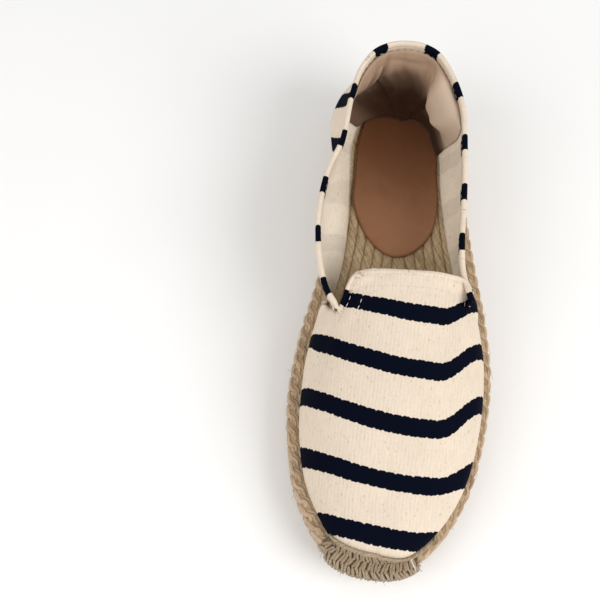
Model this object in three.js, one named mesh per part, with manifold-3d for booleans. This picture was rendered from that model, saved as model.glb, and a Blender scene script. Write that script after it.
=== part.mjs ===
// A flat slip-on espadrille for the left foot, standing empty on its sole.
// Millimetres, +Z up. The toe points to -Y, the heel to +Y and the outer (lateral) side of the foot to +X.
// Five pieces: rubber outsole, braided jute sole, canvas upper, stitched jute toe band and heel pad.
import * as THREE from "three";
import { mergeVertices } from "three/addons/utils/BufferGeometryUtils.js";
import Module from "manifold-3d";

const wasm = await Module();
wasm.setup();

// Driving sizes.
const SOLE_LENGTH = 254;
const BALL_WIDTH = 94.5;
const HEEL_WIDTH = 66;
const RUBBER = 3; // outsole thickness
const RUBBER_INSET = 2.6; // the outsole stands back from the edge of the jute
const RUBBER_ROUND = 0.9;
const JUTE = 16; // height of the braid, which is wound standing on its edge
const BRAID = 6.7; // thickness of one braid, and so the width of the rim outside the canvas
const PLAIT_PITCH = 12; // length of one lobe of the plait along the side
const PLAIT_RELIEF = 1.1;
const EDGE_ROUND = 1.9; // how far the braid's top and bottom edges are rounded off
const RIM_DIP = 0.7; // the top of the rim lies this much under the top of the sole, where it meets the canvas
const TOE_SPRING = 5;
const SPRING_START = 0.74; // share of the length, from the heel, where the toe spring begins
const GAP = 0.3; // clearance between neighbouring pieces
const WALL = 1.6; // canvas and its lining
const HEM = 1.1; // what the turned edge adds to the wall
const HEM_DEPTH = 8;
const NOTCH_TAPER = 0.04; // share of the edge over which the hem thins out towards the notch
const VAMP_LAP = 0.9; // the vamp lies over the quarters and stands out by its own cloth
const LAP_STEP = 0.004; // share of the edge over which that step falls
const INSTEP_RISE = 40.7; // top of the vamp's tab above the sole
const HEEL_RISE = 46; // top of the collar above the sole, at the heel
const TOE_BAND_REACH = 29; // from the toe tip to each end of the stitched band
const TOE_BAND_THICKNESS = 1.8;
const TOE_BAND_LAP = 5.2; // how high the stitches climb the canvas
const TOE_STITCH = 3.2; // width of one stitch
const STITCH_RELIEF = 0.6;
const PAD_LENGTH = 89;
const PAD_WIDTH = 48;
const PAD_THICKNESS = 1.6;
const PAD_CLEARANCE = 0.5; // between the pad and the canvas wall

const JUTE_BOTTOM = RUBBER + GAP;
const SOLE_TOP = JUTE_BOTTOM + JUTE;
const CANVAS_FOOT = SOLE_TOP + GAP;

// The sole's edge from toe tip to heel tip. across: share of half the width named in of, + is lateral.
// along: share of the sole's length, from the heel.
const TOE_TIP = { across: -0.053, of: BALL_WIDTH, along: 1 };
const HEEL_TIP = { across: 0.015, of: HEEL_WIDTH, along: 0 };
const LATERAL_EDGE = [
  { across: 0.175, of: BALL_WIDTH, along: 0.9945 },
  { across: 0.36, of: BALL_WIDTH, along: 0.973 },
  { across: 0.572, of: BALL_WIDTH, along: 0.929 },
  { across: 0.772, of: BALL_WIDTH, along: 0.862 },
  { across: 0.92, of: BALL_WIDTH, along: 0.768 },
  { across: 1.0, of: BALL_WIDTH, along: 0.65 },
  { across: 0.957, of: BALL_WIDTH, along: 0.5315 },
  { across: 0.868, of: BALL_WIDTH, along: 0.433 },
  { across: 1.13, of: HEEL_WIDTH, along: 0.34 },
  { across: 1.045, of: HEEL_WIDTH, along: 0.25 },
  { across: 1.0, of: HEEL_WIDTH, along: 0.165 },
  { across: 0.864, of: HEEL_WIDTH, along: 0.083 },
  { across: 0.515, of: HEEL_WIDTH, along: 0.0217 },
];
const MEDIAL_EDGE = [
  { across: -0.307, of: BALL_WIDTH, along: 0.9935 },
  { across: -0.53, of: BALL_WIDTH, along: 0.973 },
  { across: -0.715, of: BALL_WIDTH, along: 0.927 },
  { across: -0.887, of: BALL_WIDTH, along: 0.858 },
  { across: -0.982, of: BALL_WIDTH, along: 0.76 },
  { across: -1.0, of: BALL_WIDTH, along: 0.689 },
  { across: -0.942, of: BALL_WIDTH, along: 0.59 },
  { across: -0.842, of: BALL_WIDTH, along: 0.5 },
  { across: -0.751, of: BALL_WIDTH, along: 0.413 },
  { across: -0.994, of: HEEL_WIDTH, along: 0.323 },
  { across: -0.97, of: HEEL_WIDTH, along: 0.232 },
  { across: -0.94, of: HEEL_WIDTH, along: 0.146 },
  { across: -0.788, of: HEEL_WIDTH, along: 0.073 },
  { across: -0.455, of: HEEL_WIDTH, along: 0.02 },
];

// The upper's top line, in three stretches that follow the sole's edge. around: share of the edge from the
// toe tip (0) to the heel tip (1). across: share of half the ball width on the ridge and the tab, and of half
// the heel width on the collar. rise: share of the instep's or the heel's rise above the sole.
// steep: 0 where the wall arches over level, 1 where it ends upright. foot: how long it climbs upright first.
const TAB_AT = 0.46;
const NOTCH_AT = 0.505;
const RIDGE = [
  { around: 0, across: -0.05, along: 0.89, rise: 0.44, steep: 0, foot: 0.55 },
  { around: 0.1, across: -0.042, along: 0.866, rise: 0.48, steep: 0, foot: 0.5 },
  { around: 0.2, across: -0.02, along: 0.803, rise: 0.61, steep: 0, foot: 0.5 },
  { around: 0.3, across: 0.01, along: 0.713, rise: 0.775, steep: 0, foot: 0.52 },
  { around: 0.4, across: 0.05, along: 0.595, rise: 0.925, steep: 0, foot: 0.54 },
  { around: TAB_AT, across: 0.074, along: 0.508, rise: 1, steep: 0, foot: 0.56 },
];
const LATERAL_TAB = [
  { around: TAB_AT, across: 0.074, along: 0.508, rise: 1, steep: 0, foot: 0.56 },
  { around: 0.472, across: 0.38, along: 0.509, rise: 0.965, steep: 0.1, foot: 0.55 },
  { around: 0.482, across: 0.55, along: 0.516, rise: 0.925, steep: 0.25, foot: 0.5 },
  { around: 0.492, across: 0.635, along: 0.533, rise: 0.89, steep: 0.45, foot: 0.45 },
  { around: NOTCH_AT, across: 0.671, along: 0.553, rise: 0.855, steep: 0.65, foot: 0.4 },
];
const MEDIAL_TAB = [
  { around: TAB_AT, across: 0.074, along: 0.508, rise: 1, steep: 0, foot: 0.56 },
  { around: 0.47, across: -0.2, along: 0.508, rise: 0.97, steep: 0.1, foot: 0.55 },
  { around: 0.478, across: -0.35, along: 0.515, rise: 0.93, steep: 0.2, foot: 0.5 },
  { around: 0.486, across: -0.45, along: 0.535, rise: 0.89, steep: 0.35, foot: 0.45 },
  { around: 0.495, across: -0.515, along: 0.558, rise: 0.835, steep: 0.5, foot: 0.42 },
  { around: NOTCH_AT, across: -0.56, along: 0.578, rise: 0.78, steep: 0.6, foot: 0.4 },
];
const LATERAL_COLLAR = [
  { around: NOTCH_AT, across: 0.961, along: 0.553, rise: 0.757, steep: 0.65, foot: 0.4 },
  { around: 0.55, across: 0.864, along: 0.496, rise: 0.775, steep: 0.9, foot: 0.4 },
  { around: 0.6, across: 0.824, along: 0.433, rise: 0.79, steep: 1, foot: 0.4 },
  { around: 0.675, across: 0.833, along: 0.346, rise: 0.81, steep: 1, foot: 0.4 },
  { around: 0.76, across: 0.818, along: 0.248, rise: 0.85, steep: 1, foot: 0.4 },
  { around: 0.835, across: 0.758, along: 0.161, rise: 0.9, steep: 1, foot: 0.4 },
  { around: 0.89, across: 0.6, along: 0.1, rise: 0.95, steep: 1, foot: 0.4 },
  { around: 0.94, across: 0.364, along: 0.054, rise: 0.985, steep: 1, foot: 0.4 },
  { around: 1, across: 0, along: 0.037, rise: 1, steep: 1, foot: 0.4 },
];
const MEDIAL_COLLAR = [
  { around: NOTCH_AT, across: -0.803, along: 0.578, rise: 0.69, steep: 0.6, foot: 0.4 },
  { around: 0.53, across: -0.985, along: 0.543, rise: 0.735, steep: 0.8, foot: 0.4 },
  { around: 0.56, across: -1.09, along: 0.5, rise: 0.757, steep: 1, foot: 0.4 },
  { around: 0.6, across: -1.15, along: 0.449, rise: 0.775, steep: 1, foot: 0.4 },
  { around: 0.64, across: -1.167, along: 0.402, rise: 0.79, steep: 1, foot: 0.4 },
  { around: 0.69, across: -1.13, along: 0.343, rise: 0.81, steep: 1, foot: 0.4 },
  { around: 0.73, across: -1.055, along: 0.299, rise: 0.835, steep: 1, foot: 0.4 },
  { around: 0.775, across: -0.9, along: 0.244, rise: 0.87, steep: 1, foot: 0.4 },
  { around: 0.84, across: -0.77, along: 0.154, rise: 0.925, steep: 1, foot: 0.4 },
  { around: 0.89, across: -0.61, along: 0.095, rise: 0.965, steep: 1, foot: 0.4 },
  { around: 0.94, across: -0.37, along: 0.053, rise: 0.99, steep: 1, foot: 0.4 },
  { around: 1, across: 0, along: 0.037, rise: 1, steep: 1, foot: 0.4 },
];

// How the walls stand. Tuck: how much further in than the rim the canvas meets the jute, as a share of BRAID.
// Belly: how far each side bellies out above its foot, as a share of half the ball width.
const STANCE = [
  { around: 0, lateralTuck: 0, medialTuck: 0, lateralBelly: 0.02, medialBelly: 0 },
  { around: 0.06, lateralTuck: 0, medialTuck: 0, lateralBelly: 0.13, medialBelly: 0 },
  { around: 0.2, lateralTuck: 0, medialTuck: 0, lateralBelly: 0.2, medialBelly: 0 },
  { around: 0.33, lateralTuck: 0, medialTuck: 0, lateralBelly: 0.14, medialBelly: 0 },
  { around: 0.45, lateralTuck: 0.2, medialTuck: 0.15, lateralBelly: 0.1, medialBelly: 0.05 },
  { around: 0.56, lateralTuck: 0.6, medialTuck: 0.4, lateralBelly: 0.1, medialBelly: 0.06 },
  { around: 0.68, lateralTuck: 0.7, medialTuck: 0.1, lateralBelly: 0.12, medialBelly: 0.08 },
  { around: 0.76, lateralTuck: 0.65, medialTuck: 0, lateralBelly: 0.12, medialBelly: 0.3 },
  { around: 0.84, lateralTuck: 0.6, medialTuck: 0, lateralBelly: 0.12, medialBelly: 0.52 },
  { around: 0.92, lateralTuck: 0.5, medialTuck: 0.25, lateralBelly: 0.14, medialBelly: 0.42 },
  { around: 1, lateralTuck: 0.6, medialTuck: 0.6, lateralBelly: 0.24, medialBelly: 0.24 },
];

// The braid's side from its lower edge. up: share of JUTE. rounded: share of EDGE_ROUND by which it stands back.
const BRAID_SIDE = [
  { up: 0, rounded: 1 },
  { up: 0.1, rounded: 0.25 },
  { up: 0.28, rounded: 0 },
  { up: 0.5, rounded: 0.4 },
  { up: 0.72, rounded: 0 },
  { up: 0.9, rounded: 0.25 },
  { up: 1, rounded: 1 },
];

// The outside of the toe band below the canvas. up: share of JUTE. out: share of TOE_BAND_THICKNESS, beside the
// edge and on top of the stitch's own swell.
const BAND_START = 0.16;
const BAND_SIDE = [
  { up: 0.19, out: 0 },
  { up: 0.5, out: 0.17 },
  { up: 0.86, out: -0.11 },
  { up: 1.075, out: -1.2 },
];

// The heel pad's outline. across and along are shares of half its width and of its length, from its back end.
const PAD_BACK = 0.055; // share of the sole's length between the heel tip and the pad
const PAD_OUTLINE = [
  { across: -0.1, along: 0 },
  { across: 0.5, along: 0.05 },
  { across: 0.84, along: 0.2 },
  { across: 0.9, along: 0.45 },
  { across: 0.93, along: 0.68 },
  { across: 0.78, along: 0.87 },
  { across: 0.42, along: 0.98 },
  { across: 0.06, along: 1 },
  { across: -0.34, along: 0.93 },
  { across: -0.7, along: 0.76 },
  { across: -0.93, along: 0.5 },
  { across: -0.98, along: 0.25 },
  { across: -0.65, along: 0.05 },
];

const MATERIALS = {
  rubber: new THREE.MeshStandardMaterial({ color: 0xb79a72, roughness: 0.75, metalness: 0 }),
  jute: new THREE.MeshStandardMaterial({ color: 0xb89c72, roughness: 0.95, metalness: 0 }),
  canvas: new THREE.MeshStandardMaterial({ color: 0xefe4d2, roughness: 0.95, metalness: 0 }),
  pad: new THREE.MeshStandardMaterial({ color: 0x8a5638, roughness: 0.55, metalness: 0 }),
};

// Smooth interpolation of one named column of a table whose rows run along their around column.
function column(rows, name, around) {
  const last = rows.length - 1;
  const at = THREE.MathUtils.clamp(around, rows[0].around, rows[last].around);
  const k = Math.min(Math.max(rows.findIndex((row) => row.around >= at) - 1, 0), last - 1);
  const slope = (a, b) => (rows[b][name] - rows[a][name]) / (rows[b].around - rows[a].around);
  const step = rows[k + 1].around - rows[k].around;
  const start = slope(Math.max(k - 1, 0), k + 1) * step;
  const end = slope(k, Math.min(k + 2, last)) * step;
  const s = (at - rows[k].around) / step;
  const s2 = s * s;
  const s3 = s2 * s;
  return (
    rows[k][name] * (2 * s3 - 3 * s2 + 1) +
    start * (s3 - 2 * s2 + s) +
    rows[k + 1][name] * (3 * s2 - 2 * s3) +
    end * (s3 - s2)
  );
}

// The sole's edge, as one closed curve that runs from the toe tip along the lateral side.
const edgeRows = [TOE_TIP, ...LATERAL_EDGE, HEEL_TIP, ...[...MEDIAL_EDGE].reverse()];
const yOf = (along) => SOLE_LENGTH * (0.5 - along);
const edge = new THREE.CatmullRomCurve3(
  edgeRows.map((row) => new THREE.Vector3((row.across * row.of) / 2, yOf(row.along), 0)),
  true,
);
const SAMPLES_A_ROW = 40;
edge.arcLengthDivisions = edgeRows.length * SAMPLES_A_ROW;
const edgeLengths = edge.getLengths();
const edgeLength = edgeLengths[edgeLengths.length - 1];
const lateralLength = edgeLengths[(LATERAL_EDGE.length + 1) * SAMPLES_A_ROW];
const medialLength = edgeLength - lateralLength;

const lift = (y) => TOE_SPRING * Math.max(0, (yOf(SPRING_START) - y) / (yOf(SPRING_START) - yOf(1))) ** 2;

// A point beside the sole's edge. side: 1 lateral, -1 medial. out: distance outwards of the edge.
function besideEdge(side, around, out, height) {
  const reach = side > 0 ? around * lateralLength : edgeLength - around * medialLength;
  const u = THREE.MathUtils.clamp(reach / edgeLength, 0, 1);
  const at = edge.getPointAt(u);
  const along = edge.getTangentAt(u);
  const outward = new THREE.Vector3(along.y, -along.x, 0).normalize();
  at.addScaledVector(outward, out);
  at.z = height + lift(at.y);
  return { at, outward };
}

// Stations right round the edge: toe tip, lateral side, heel tip, medial side. Each lateral one has a medial twin.
function stations(shares) {
  const lateral = shares.map((around) => ({ side: 1, around }));
  const medial = shares.slice(1, -1).map((around) => ({ side: -1, around }));
  return [...lateral, ...medial.reverse()];
}
const SIDE_STEPS = 40;
const evenShares = (count) => Array.from({ length: count + 1 }, (_, k) => k / count);

function geometryOf(points, triangles) {
  const position = new THREE.Float32BufferAttribute(points.flatMap((p) => p.toArray()), 3);
  const geometry = new THREE.BufferGeometry().setAttribute("position", position).setIndex(triangles.flat());
  geometry.computeVertexNormals();
  return geometry;
}

// A closed solid from rings of stations, lowest ring first. Each cap is a ladder between lateral and medial twins.
function stackedRings(rings) {
  const count = rings[0].length;
  const triangles = [];
  for (let r = 0; r + 1 < rings.length; r++) {
    for (let k = 0; k < count; k++) {
      const next = (k + 1) % count;
      const [a, b] = [r * count + k, r * count + next];
      const [c, d] = [a + count, b + count];
      triangles.push([a, b, d], [a, d, c]);
    }
  }
  const cap = (first, turn) => {
    for (let k = 0; k < count / 2; k++) {
      const [a, b] = [first + k, first + k + 1];
      const [c, d] = [first + count - k - 1, first + ((count - k) % count)];
      const rung = [[a, b, d], [b, c, d]].filter(([p, q, s]) => p !== q && q !== s && p !== s);
      rung.forEach(([p, q, s]) => triangles.push(turn ? [p, s, q] : [p, q, s]));
    }
  };
  cap(0, true);
  cap((rings.length - 1) * count, false);
  return geometryOf(rings.flat(), triangles);
}

function rubberOutsole() {
  const round = stations(evenShares(SIDE_STEPS));
  const profile = [
    { out: -RUBBER_INSET - RUBBER_ROUND, height: 0 },
    { out: -RUBBER_INSET, height: RUBBER_ROUND },
    { out: -RUBBER_INSET, height: RUBBER },
  ];
  return stackedRings(
    profile.map(({ out, height }) => round.map(({ side, around }) => besideEdge(side, around, out, height).at)),
  );
}

// The side of the outer braid, with the chevron lobes of its plait, and its rounded top outside the canvas.
function juteSole() {
  const lobes = 2 * Math.round(edgeLength / PLAIT_PITCH / 2);
  const samplesALobe = 4;
  const round = stations(evenShares((lobes * samplesALobe) / 2));
  const rings = BRAID_SIDE.map(({ up, rounded }) => {
    const slant = Math.abs(up - 0.5);
    const relief = rounded < 1 ? PLAIT_RELIEF : 0;
    return round.map(({ side, around }, k) => {
      const lobe = 0.5 - 0.5 * Math.cos(2 * Math.PI * (k / samplesALobe + slant));
      return besideEdge(side, around, -EDGE_ROUND * rounded - relief * lobe, JUTE_BOTTOM + JUTE * up).at;
    });
  });
  const ringInside = (further, height) =>
    round.map(({ side, around }) => besideEdge(side, around, -feather(side, around) - further, height).at);
  rings.push(ringInside(-GAP, SOLE_TOP - RIM_DIP), ringInside(WALL + HEM, SOLE_TOP));
  return stackedRings(rings);
}

// How much further in than the rim the canvas meets the jute, and how far from the edge that is.
const stance = (what, side, around) => column(STANCE, (side > 0 ? "lateral" : "medial") + what, around);
const feather = (side, around) => BRAID * (1 + stance("Tuck", side, around));

// A collar table with one more row past the heel, its last row's mirror image, so that the heel is smooth.
function pastHeel(rows) {
  const twin = rows[rows.length - 2];
  return [...rows, { ...twin, around: 2 - twin.around, across: -twin.across }];
}
const lateralCollar = pastHeel(LATERAL_COLLAR);
const medialCollar = pastHeel(MEDIAL_COLLAR);

// Where the upper ends above a station: on the ridge, on the tab's edge or on the collar.
function topLine(side, around) {
  const onCollar = around > NOTCH_AT;
  const tab = side > 0 ? LATERAL_TAB : MEDIAL_TAB;
  const collar = side > 0 ? lateralCollar : medialCollar;
  const rows = around <= TAB_AT ? RIDGE : onCollar ? collar : tab;
  const halfWidth = (onCollar ? HEEL_WIDTH : BALL_WIDTH) / 2;
  const rise = onCollar ? HEEL_RISE : INSTEP_RISE;
  return {
    at: new THREE.Vector3(
      column(rows, "across", around) * halfWidth,
      yOf(column(rows, "along", around)),
      SOLE_TOP + column(rows, "rise", around) * rise,
    ),
    steep: column(rows, "steep", around),
    foot: column(rows, "foot", around),
  };
}

// One rib of the upper, from the foot of the canvas to its top line.
const LATERAL_FULLNESS = 1.18; // the lateral side climbs more upright than the medial one
const TOP_FULLNESS = 0.52;
function rib(side, around) {
  const { at: foot, outward } = besideEdge(side, around, -feather(side, around), CANVAS_FOOT);
  const top = topLine(side, around);
  const level = new THREE.Vector3(top.at.x - foot.x, top.at.y - foot.y, 0);
  const climb = top.at.z - foot.z;
  const lean = (top.steep * Math.PI) / 2;
  const sideShare = Math.sin(Math.PI * Math.min(1, around / 0.5)) ** 2;
  const fullness = top.foot * (side > 0 ? 1 + (LATERAL_FULLNESS - 1) * sideShare : 1);
  const belly = (stance("Belly", side, around) * BALL_WIDTH) / 2;
  const low = foot.clone().addScaledVector(outward, belly);
  low.z += climb * fullness;
  const high = top.at.clone().addScaledVector(level, -Math.cos(lean) * TOP_FULLNESS);
  high.z -= climb * Math.sin(lean) * TOP_FULLNESS;
  const curve = new THREE.CubicBezierCurve3(foot, low, high, top.at);
  curve.foot = fullness;
  return curve;
}

// A wall of cloth: the given surface, thickened inwards, and moved outwards where it laps over.
function thickened(quads) {
  const index = new Map();
  const points = [];
  const weld = (vertex) => {
    const key = vertex.at.toArray().map((n) => Math.round(n * 1e4)).join();
    if (!index.has(key)) {
      index.set(key, points.length);
      points.push({ ...vertex, normal: new THREE.Vector3() });
    }
    return index.get(key);
  };
  const outer = [];
  for (const quad of quads) {
    const [a, b, c, d] = quad.map(weld);
    outer.push(...[[a, b, c], [a, c, d]].filter(([p, q, s]) => p !== q && q !== s && p !== s));
  }
  for (const [a, b, c] of outer) {
    const normal = points[b].at.clone().sub(points[a].at).cross(points[c].at.clone().sub(points[a].at));
    [a, b, c].forEach((k) => points[k].normal.add(normal));
  }
  points.forEach((p) => p.normal.normalize());
  const count = points.length;
  const vertices = [
    ...points.map((p) => p.at.clone().addScaledVector(p.normal, p.lap)),
    ...points.map((p) => p.at.clone().addScaledVector(p.normal, -p.wall)),
  ];
  const edges = new Set(outer.flatMap(([a, b, c]) => [`${a},${b}`, `${b},${c}`, `${c},${a}`]));
  const triangles = [...outer, ...outer.map(([a, b, c]) => [a + count, c + count, b + count])];
  for (const name of edges) {
    const [a, b] = name.split(",").map(Number);
    if (!edges.has(`${b},${a}`)) triangles.push([b, a, a + count], [b, a + count, b + count]);
  }
  return geometryOf(vertices, triangles);
}

function upper() {
  const spread = (from, to, count) => Array.from({ length: count }, (_, k) => from + ((to - from) * (k + 1)) / count);
  const lapEnd = NOTCH_AT + LAP_STEP;
  const shares = [0, ...spread(0, TAB_AT, 18), ...spread(TAB_AT, NOTCH_AT, 8), lapEnd, ...spread(lapEnd, 1, 26)];
  const round = stations(shares);
  const climbs = [0, 0.12, 0.25, 0.38, 0.52, 0.66, 0.8, 0.91, 1];
  const rows = round.map(({ side, around }) => {
    const curve = rib(side, around);
    const length = curve.getLength();
    return climbs.map((v) => {
      const toEdge = (1 - v) * length;
      const fromNotch = Math.min(1, Math.abs(around - NOTCH_AT) / NOTCH_TAPER);
      const hem = around >= TAB_AT ? fromNotch * HEM * Math.max(0, 1 - toEdge / HEM_DEPTH) : 0;
      return { at: curve.getPoint(v), wall: WALL + hem, lap: around <= NOTCH_AT ? VAMP_LAP : 0 };
    });
  });
  const quads = rows.flatMap((row, k) => {
    const next = rows[(k + 1) % rows.length];
    return climbs.slice(1).map((_, j) => [row[j], next[j], next[j + 1], row[j + 1]]);
  });
  return thickened(quads);
}

// The toe band: stitches that climb the side of the jute, cross its rim and lap onto the canvas.
// Each section goes up the outside of the band and comes down beside the jute, in as many points.
function toeBand() {
  const stitches = 2 * Math.round(TOE_BAND_REACH / TOE_STITCH);
  const samplesAStitch = 4;
  const count = stitches * samplesAStitch;
  const clear = VAMP_LAP + 2 * GAP;
  const sections = Array.from({ length: count + 1 }, (_, k) => {
    const reach = TOE_BAND_REACH * (1 - (2 * k) / count);
    const side = reach >= 0 ? 1 : -1;
    const around = Math.abs(reach) / (side > 0 ? lateralLength : medialLength);
    const valley = 0.5 + 0.5 * Math.cos((2 * Math.PI * k) / samplesAStitch);
    const swell = TOE_BAND_THICKNESS - STITCH_RELIEF * valley;
    const beside = (out, height) => besideEdge(side, around, out, height).at;
    const { outward } = besideEdge(side, around, 0, 0);
    const along = new THREE.Vector3(-outward.y, outward.x, 0);
    const curve = rib(side, around);
    const climb = curve.v3.z - curve.v0.z;
    const onCanvas = (up, out) => {
      const t = up / climb / (3 * curve.foot);
      return curve.getPoint(t).addScaledVector(along.clone().cross(curve.getTangent(t)), out);
    };
    return [
      beside(GAP, JUTE_BOTTOM + JUTE * BAND_START),
      ...BAND_SIDE.map(({ up, out }) => beside(swell + out * TOE_BAND_THICKNESS, JUTE_BOTTOM + JUTE * up)),
      onCanvas(TOE_BAND_LAP * 0.7, clear + swell),
      onCanvas(TOE_BAND_LAP, clear + swell * 0.4),
      onCanvas(TOE_BAND_LAP * 0.7, clear),
      onCanvas(TOE_BAND_LAP * 0.2, clear),
      beside(-EDGE_ROUND, SOLE_TOP + GAP),
      beside(GAP, SOLE_TOP - EDGE_ROUND),
      beside(GAP, JUTE_BOTTOM + JUTE * 0.5),
    ];
  });
  return stackedRings(sections);
}

// Booleans need closed solids whose shared corners are one vertex.
function solidOf(geometry) {
  const bare = geometry.clone();
  bare.deleteAttribute("normal");
  bare.deleteAttribute("uv");
  const merged = mergeVertices(bare);
  const vertProperties = new Float32Array(merged.attributes.position.array);
  const triVerts = new Uint32Array(merged.index.array);
  return new wasm.Manifold(new wasm.Mesh({ numProp: 3, vertProperties, triVerts }));
}

function geometryFrom(solid) {
  const { vertProperties, triVerts } = solid.getMesh();
  const geometry = new THREE.BufferGeometry();
  geometry.setAttribute("position", new THREE.BufferAttribute(vertProperties, 3));
  geometry.setIndex(new THREE.BufferAttribute(triVerts, 1));
  geometry.computeVertexNormals();
  return geometry;
}

// The pad is cut back where the canvas wall stands in its way.
function heelPad() {
  const back = yOf(PAD_BACK);
  const outline = new THREE.CatmullRomCurve3(
    PAD_OUTLINE.map(({ across, along }) => new THREE.Vector3((across * PAD_WIDTH) / 2, back - along * PAD_LENGTH, 0)),
    true,
  );
  const shape = new THREE.Shape(outline.getSpacedPoints(64).slice(0, -1).map((p) => new THREE.Vector2(p.x, p.y)));
  const bevel = PAD_THICKNESS / 3;
  const pad = new THREE.ExtrudeGeometry(shape, {
    depth: PAD_THICKNESS - 2 * bevel,
    bevelThickness: bevel,
    bevelSize: bevel,
    bevelOffset: -bevel,
    bevelSegments: 1,
  });
  pad.translate(0, 0, SOLE_TOP + GAP + bevel);
  const inside = [JUTE_BOTTOM, SOLE_TOP + 2 * PAD_THICKNESS].map((height) =>
    stations(evenShares(SIDE_STEPS)).map(({ side, around }) =>
      besideEdge(side, around, -feather(side, around) - WALL - PAD_CLEARANCE, height).at,
    ),
  );
  return geometryFrom(solidOf(pad).intersect(solidOf(stackedRings(inside))));
}

const shoe = new THREE.Group();
const addPiece = (name, geometry, material) => {
  const mesh = new THREE.Mesh(geometry, material);
  mesh.name = name;
  shoe.add(mesh);
};
addPiece("rubber_outsole", rubberOutsole(), MATERIALS.rubber);
addPiece("jute_sole", juteSole(), MATERIALS.jute);
addPiece("canvas_upper", upper(), MATERIALS.canvas);
addPiece("toe_band", toeBand(), MATERIALS.jute);
addPiece("heel_pad", heelPad(), MATERIALS.pad);

// The origin is on the ground, under the middle of the shoe.
const box = new THREE.Box3().setFromObject(shoe);
const middle = box.getCenter(new THREE.Vector3());
shoe.position.set(-middle.x, -middle.y, -box.min.z);

export default shoe;
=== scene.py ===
"""A striped canvas espadrille for the left foot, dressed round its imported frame.

Lengths are in millimetres while shapes are worked out, and in metres in every mesh.
The toe points to -Y, the heel to +Y and the outer (lateral) side of the foot to +X.
"""

import math

import bmesh
import bpy
import numpy as np
from mathutils import Matrix, Vector
from mathutils.bvhtree import BVHTree


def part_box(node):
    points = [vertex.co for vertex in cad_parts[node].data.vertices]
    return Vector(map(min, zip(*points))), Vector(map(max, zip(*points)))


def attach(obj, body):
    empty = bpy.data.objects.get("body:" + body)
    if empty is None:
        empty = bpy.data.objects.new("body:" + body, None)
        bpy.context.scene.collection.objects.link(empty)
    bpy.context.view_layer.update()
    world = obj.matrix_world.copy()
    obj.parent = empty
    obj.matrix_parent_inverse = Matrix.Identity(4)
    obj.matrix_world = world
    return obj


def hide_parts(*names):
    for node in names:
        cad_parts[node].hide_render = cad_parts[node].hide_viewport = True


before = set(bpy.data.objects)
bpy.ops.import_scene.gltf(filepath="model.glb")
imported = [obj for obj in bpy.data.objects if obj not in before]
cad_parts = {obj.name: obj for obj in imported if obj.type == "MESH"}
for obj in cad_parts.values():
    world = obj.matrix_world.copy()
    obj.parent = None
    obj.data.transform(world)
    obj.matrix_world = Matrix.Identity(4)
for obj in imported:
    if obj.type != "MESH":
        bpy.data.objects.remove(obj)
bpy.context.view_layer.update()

MM = 0.001

# Driving sizes of the shoe, the same as in the part's source.
SOLE_LENGTH = 254.0
BALL_WIDTH = 94.5
HEEL_WIDTH = 66.0
RUBBER = 3.0
JUTE = 16.0
BRAID = 6.7
GAP = 0.3
WALL = 1.6
VAMP_LAP = 0.9
TOE_SPRING = 5.0
SPRING_START = 0.74
INSTEP_RISE = 40.7
HEEL_RISE = 46.0
TOE_BAND_REACH = 29.0

# The pad, a little shorter than the solid one. Its back end lies at a share of the shoe's length, from the heel.
PAD_LENGTH = 84.0
PAD_WIDTH = 48.0
PAD_THICKNESS = 1.6
PAD_BACK = 0.075
PAD_ROUNDING = 1.2

JUTE_BOTTOM = RUBBER + GAP
SOLE_TOP = JUTE_BOTTOM + JUTE
CANVAS_FOOT = SOLE_TOP + GAP
TAB_AT = 0.46
NOTCH_AT = 0.505
LATERAL_FULLNESS = 1.18
TOP_FULLNESS = 0.52

# The sole's edge. Columns: across (share of half of the width beside it), that width, and along (share of the
# length, from the heel).
TOE_TIP = (-0.053, BALL_WIDTH, 1.0)
HEEL_TIP = (0.015, HEEL_WIDTH, 0.0)
LATERAL_EDGE = [
    (0.175, BALL_WIDTH, 0.9945), (0.36, BALL_WIDTH, 0.973), (0.572, BALL_WIDTH, 0.929),
    (0.772, BALL_WIDTH, 0.862), (0.92, BALL_WIDTH, 0.768), (1.0, BALL_WIDTH, 0.65),
    (0.957, BALL_WIDTH, 0.5315), (0.868, BALL_WIDTH, 0.433), (1.13, HEEL_WIDTH, 0.34),
    (1.045, HEEL_WIDTH, 0.25), (1.0, HEEL_WIDTH, 0.165), (0.864, HEEL_WIDTH, 0.083),
    (0.515, HEEL_WIDTH, 0.0217),
]
MEDIAL_EDGE = [
    (-0.307, BALL_WIDTH, 0.9935), (-0.53, BALL_WIDTH, 0.973), (-0.715, BALL_WIDTH, 0.927),
    (-0.887, BALL_WIDTH, 0.858), (-0.982, BALL_WIDTH, 0.76), (-1.0, BALL_WIDTH, 0.689),
    (-0.942, BALL_WIDTH, 0.59), (-0.842, BALL_WIDTH, 0.5), (-0.751, BALL_WIDTH, 0.413),
    (-0.994, HEEL_WIDTH, 0.323), (-0.97, HEEL_WIDTH, 0.232), (-0.94, HEEL_WIDTH, 0.146),
    (-0.788, HEEL_WIDTH, 0.073), (-0.455, HEEL_WIDTH, 0.02),
]

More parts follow.
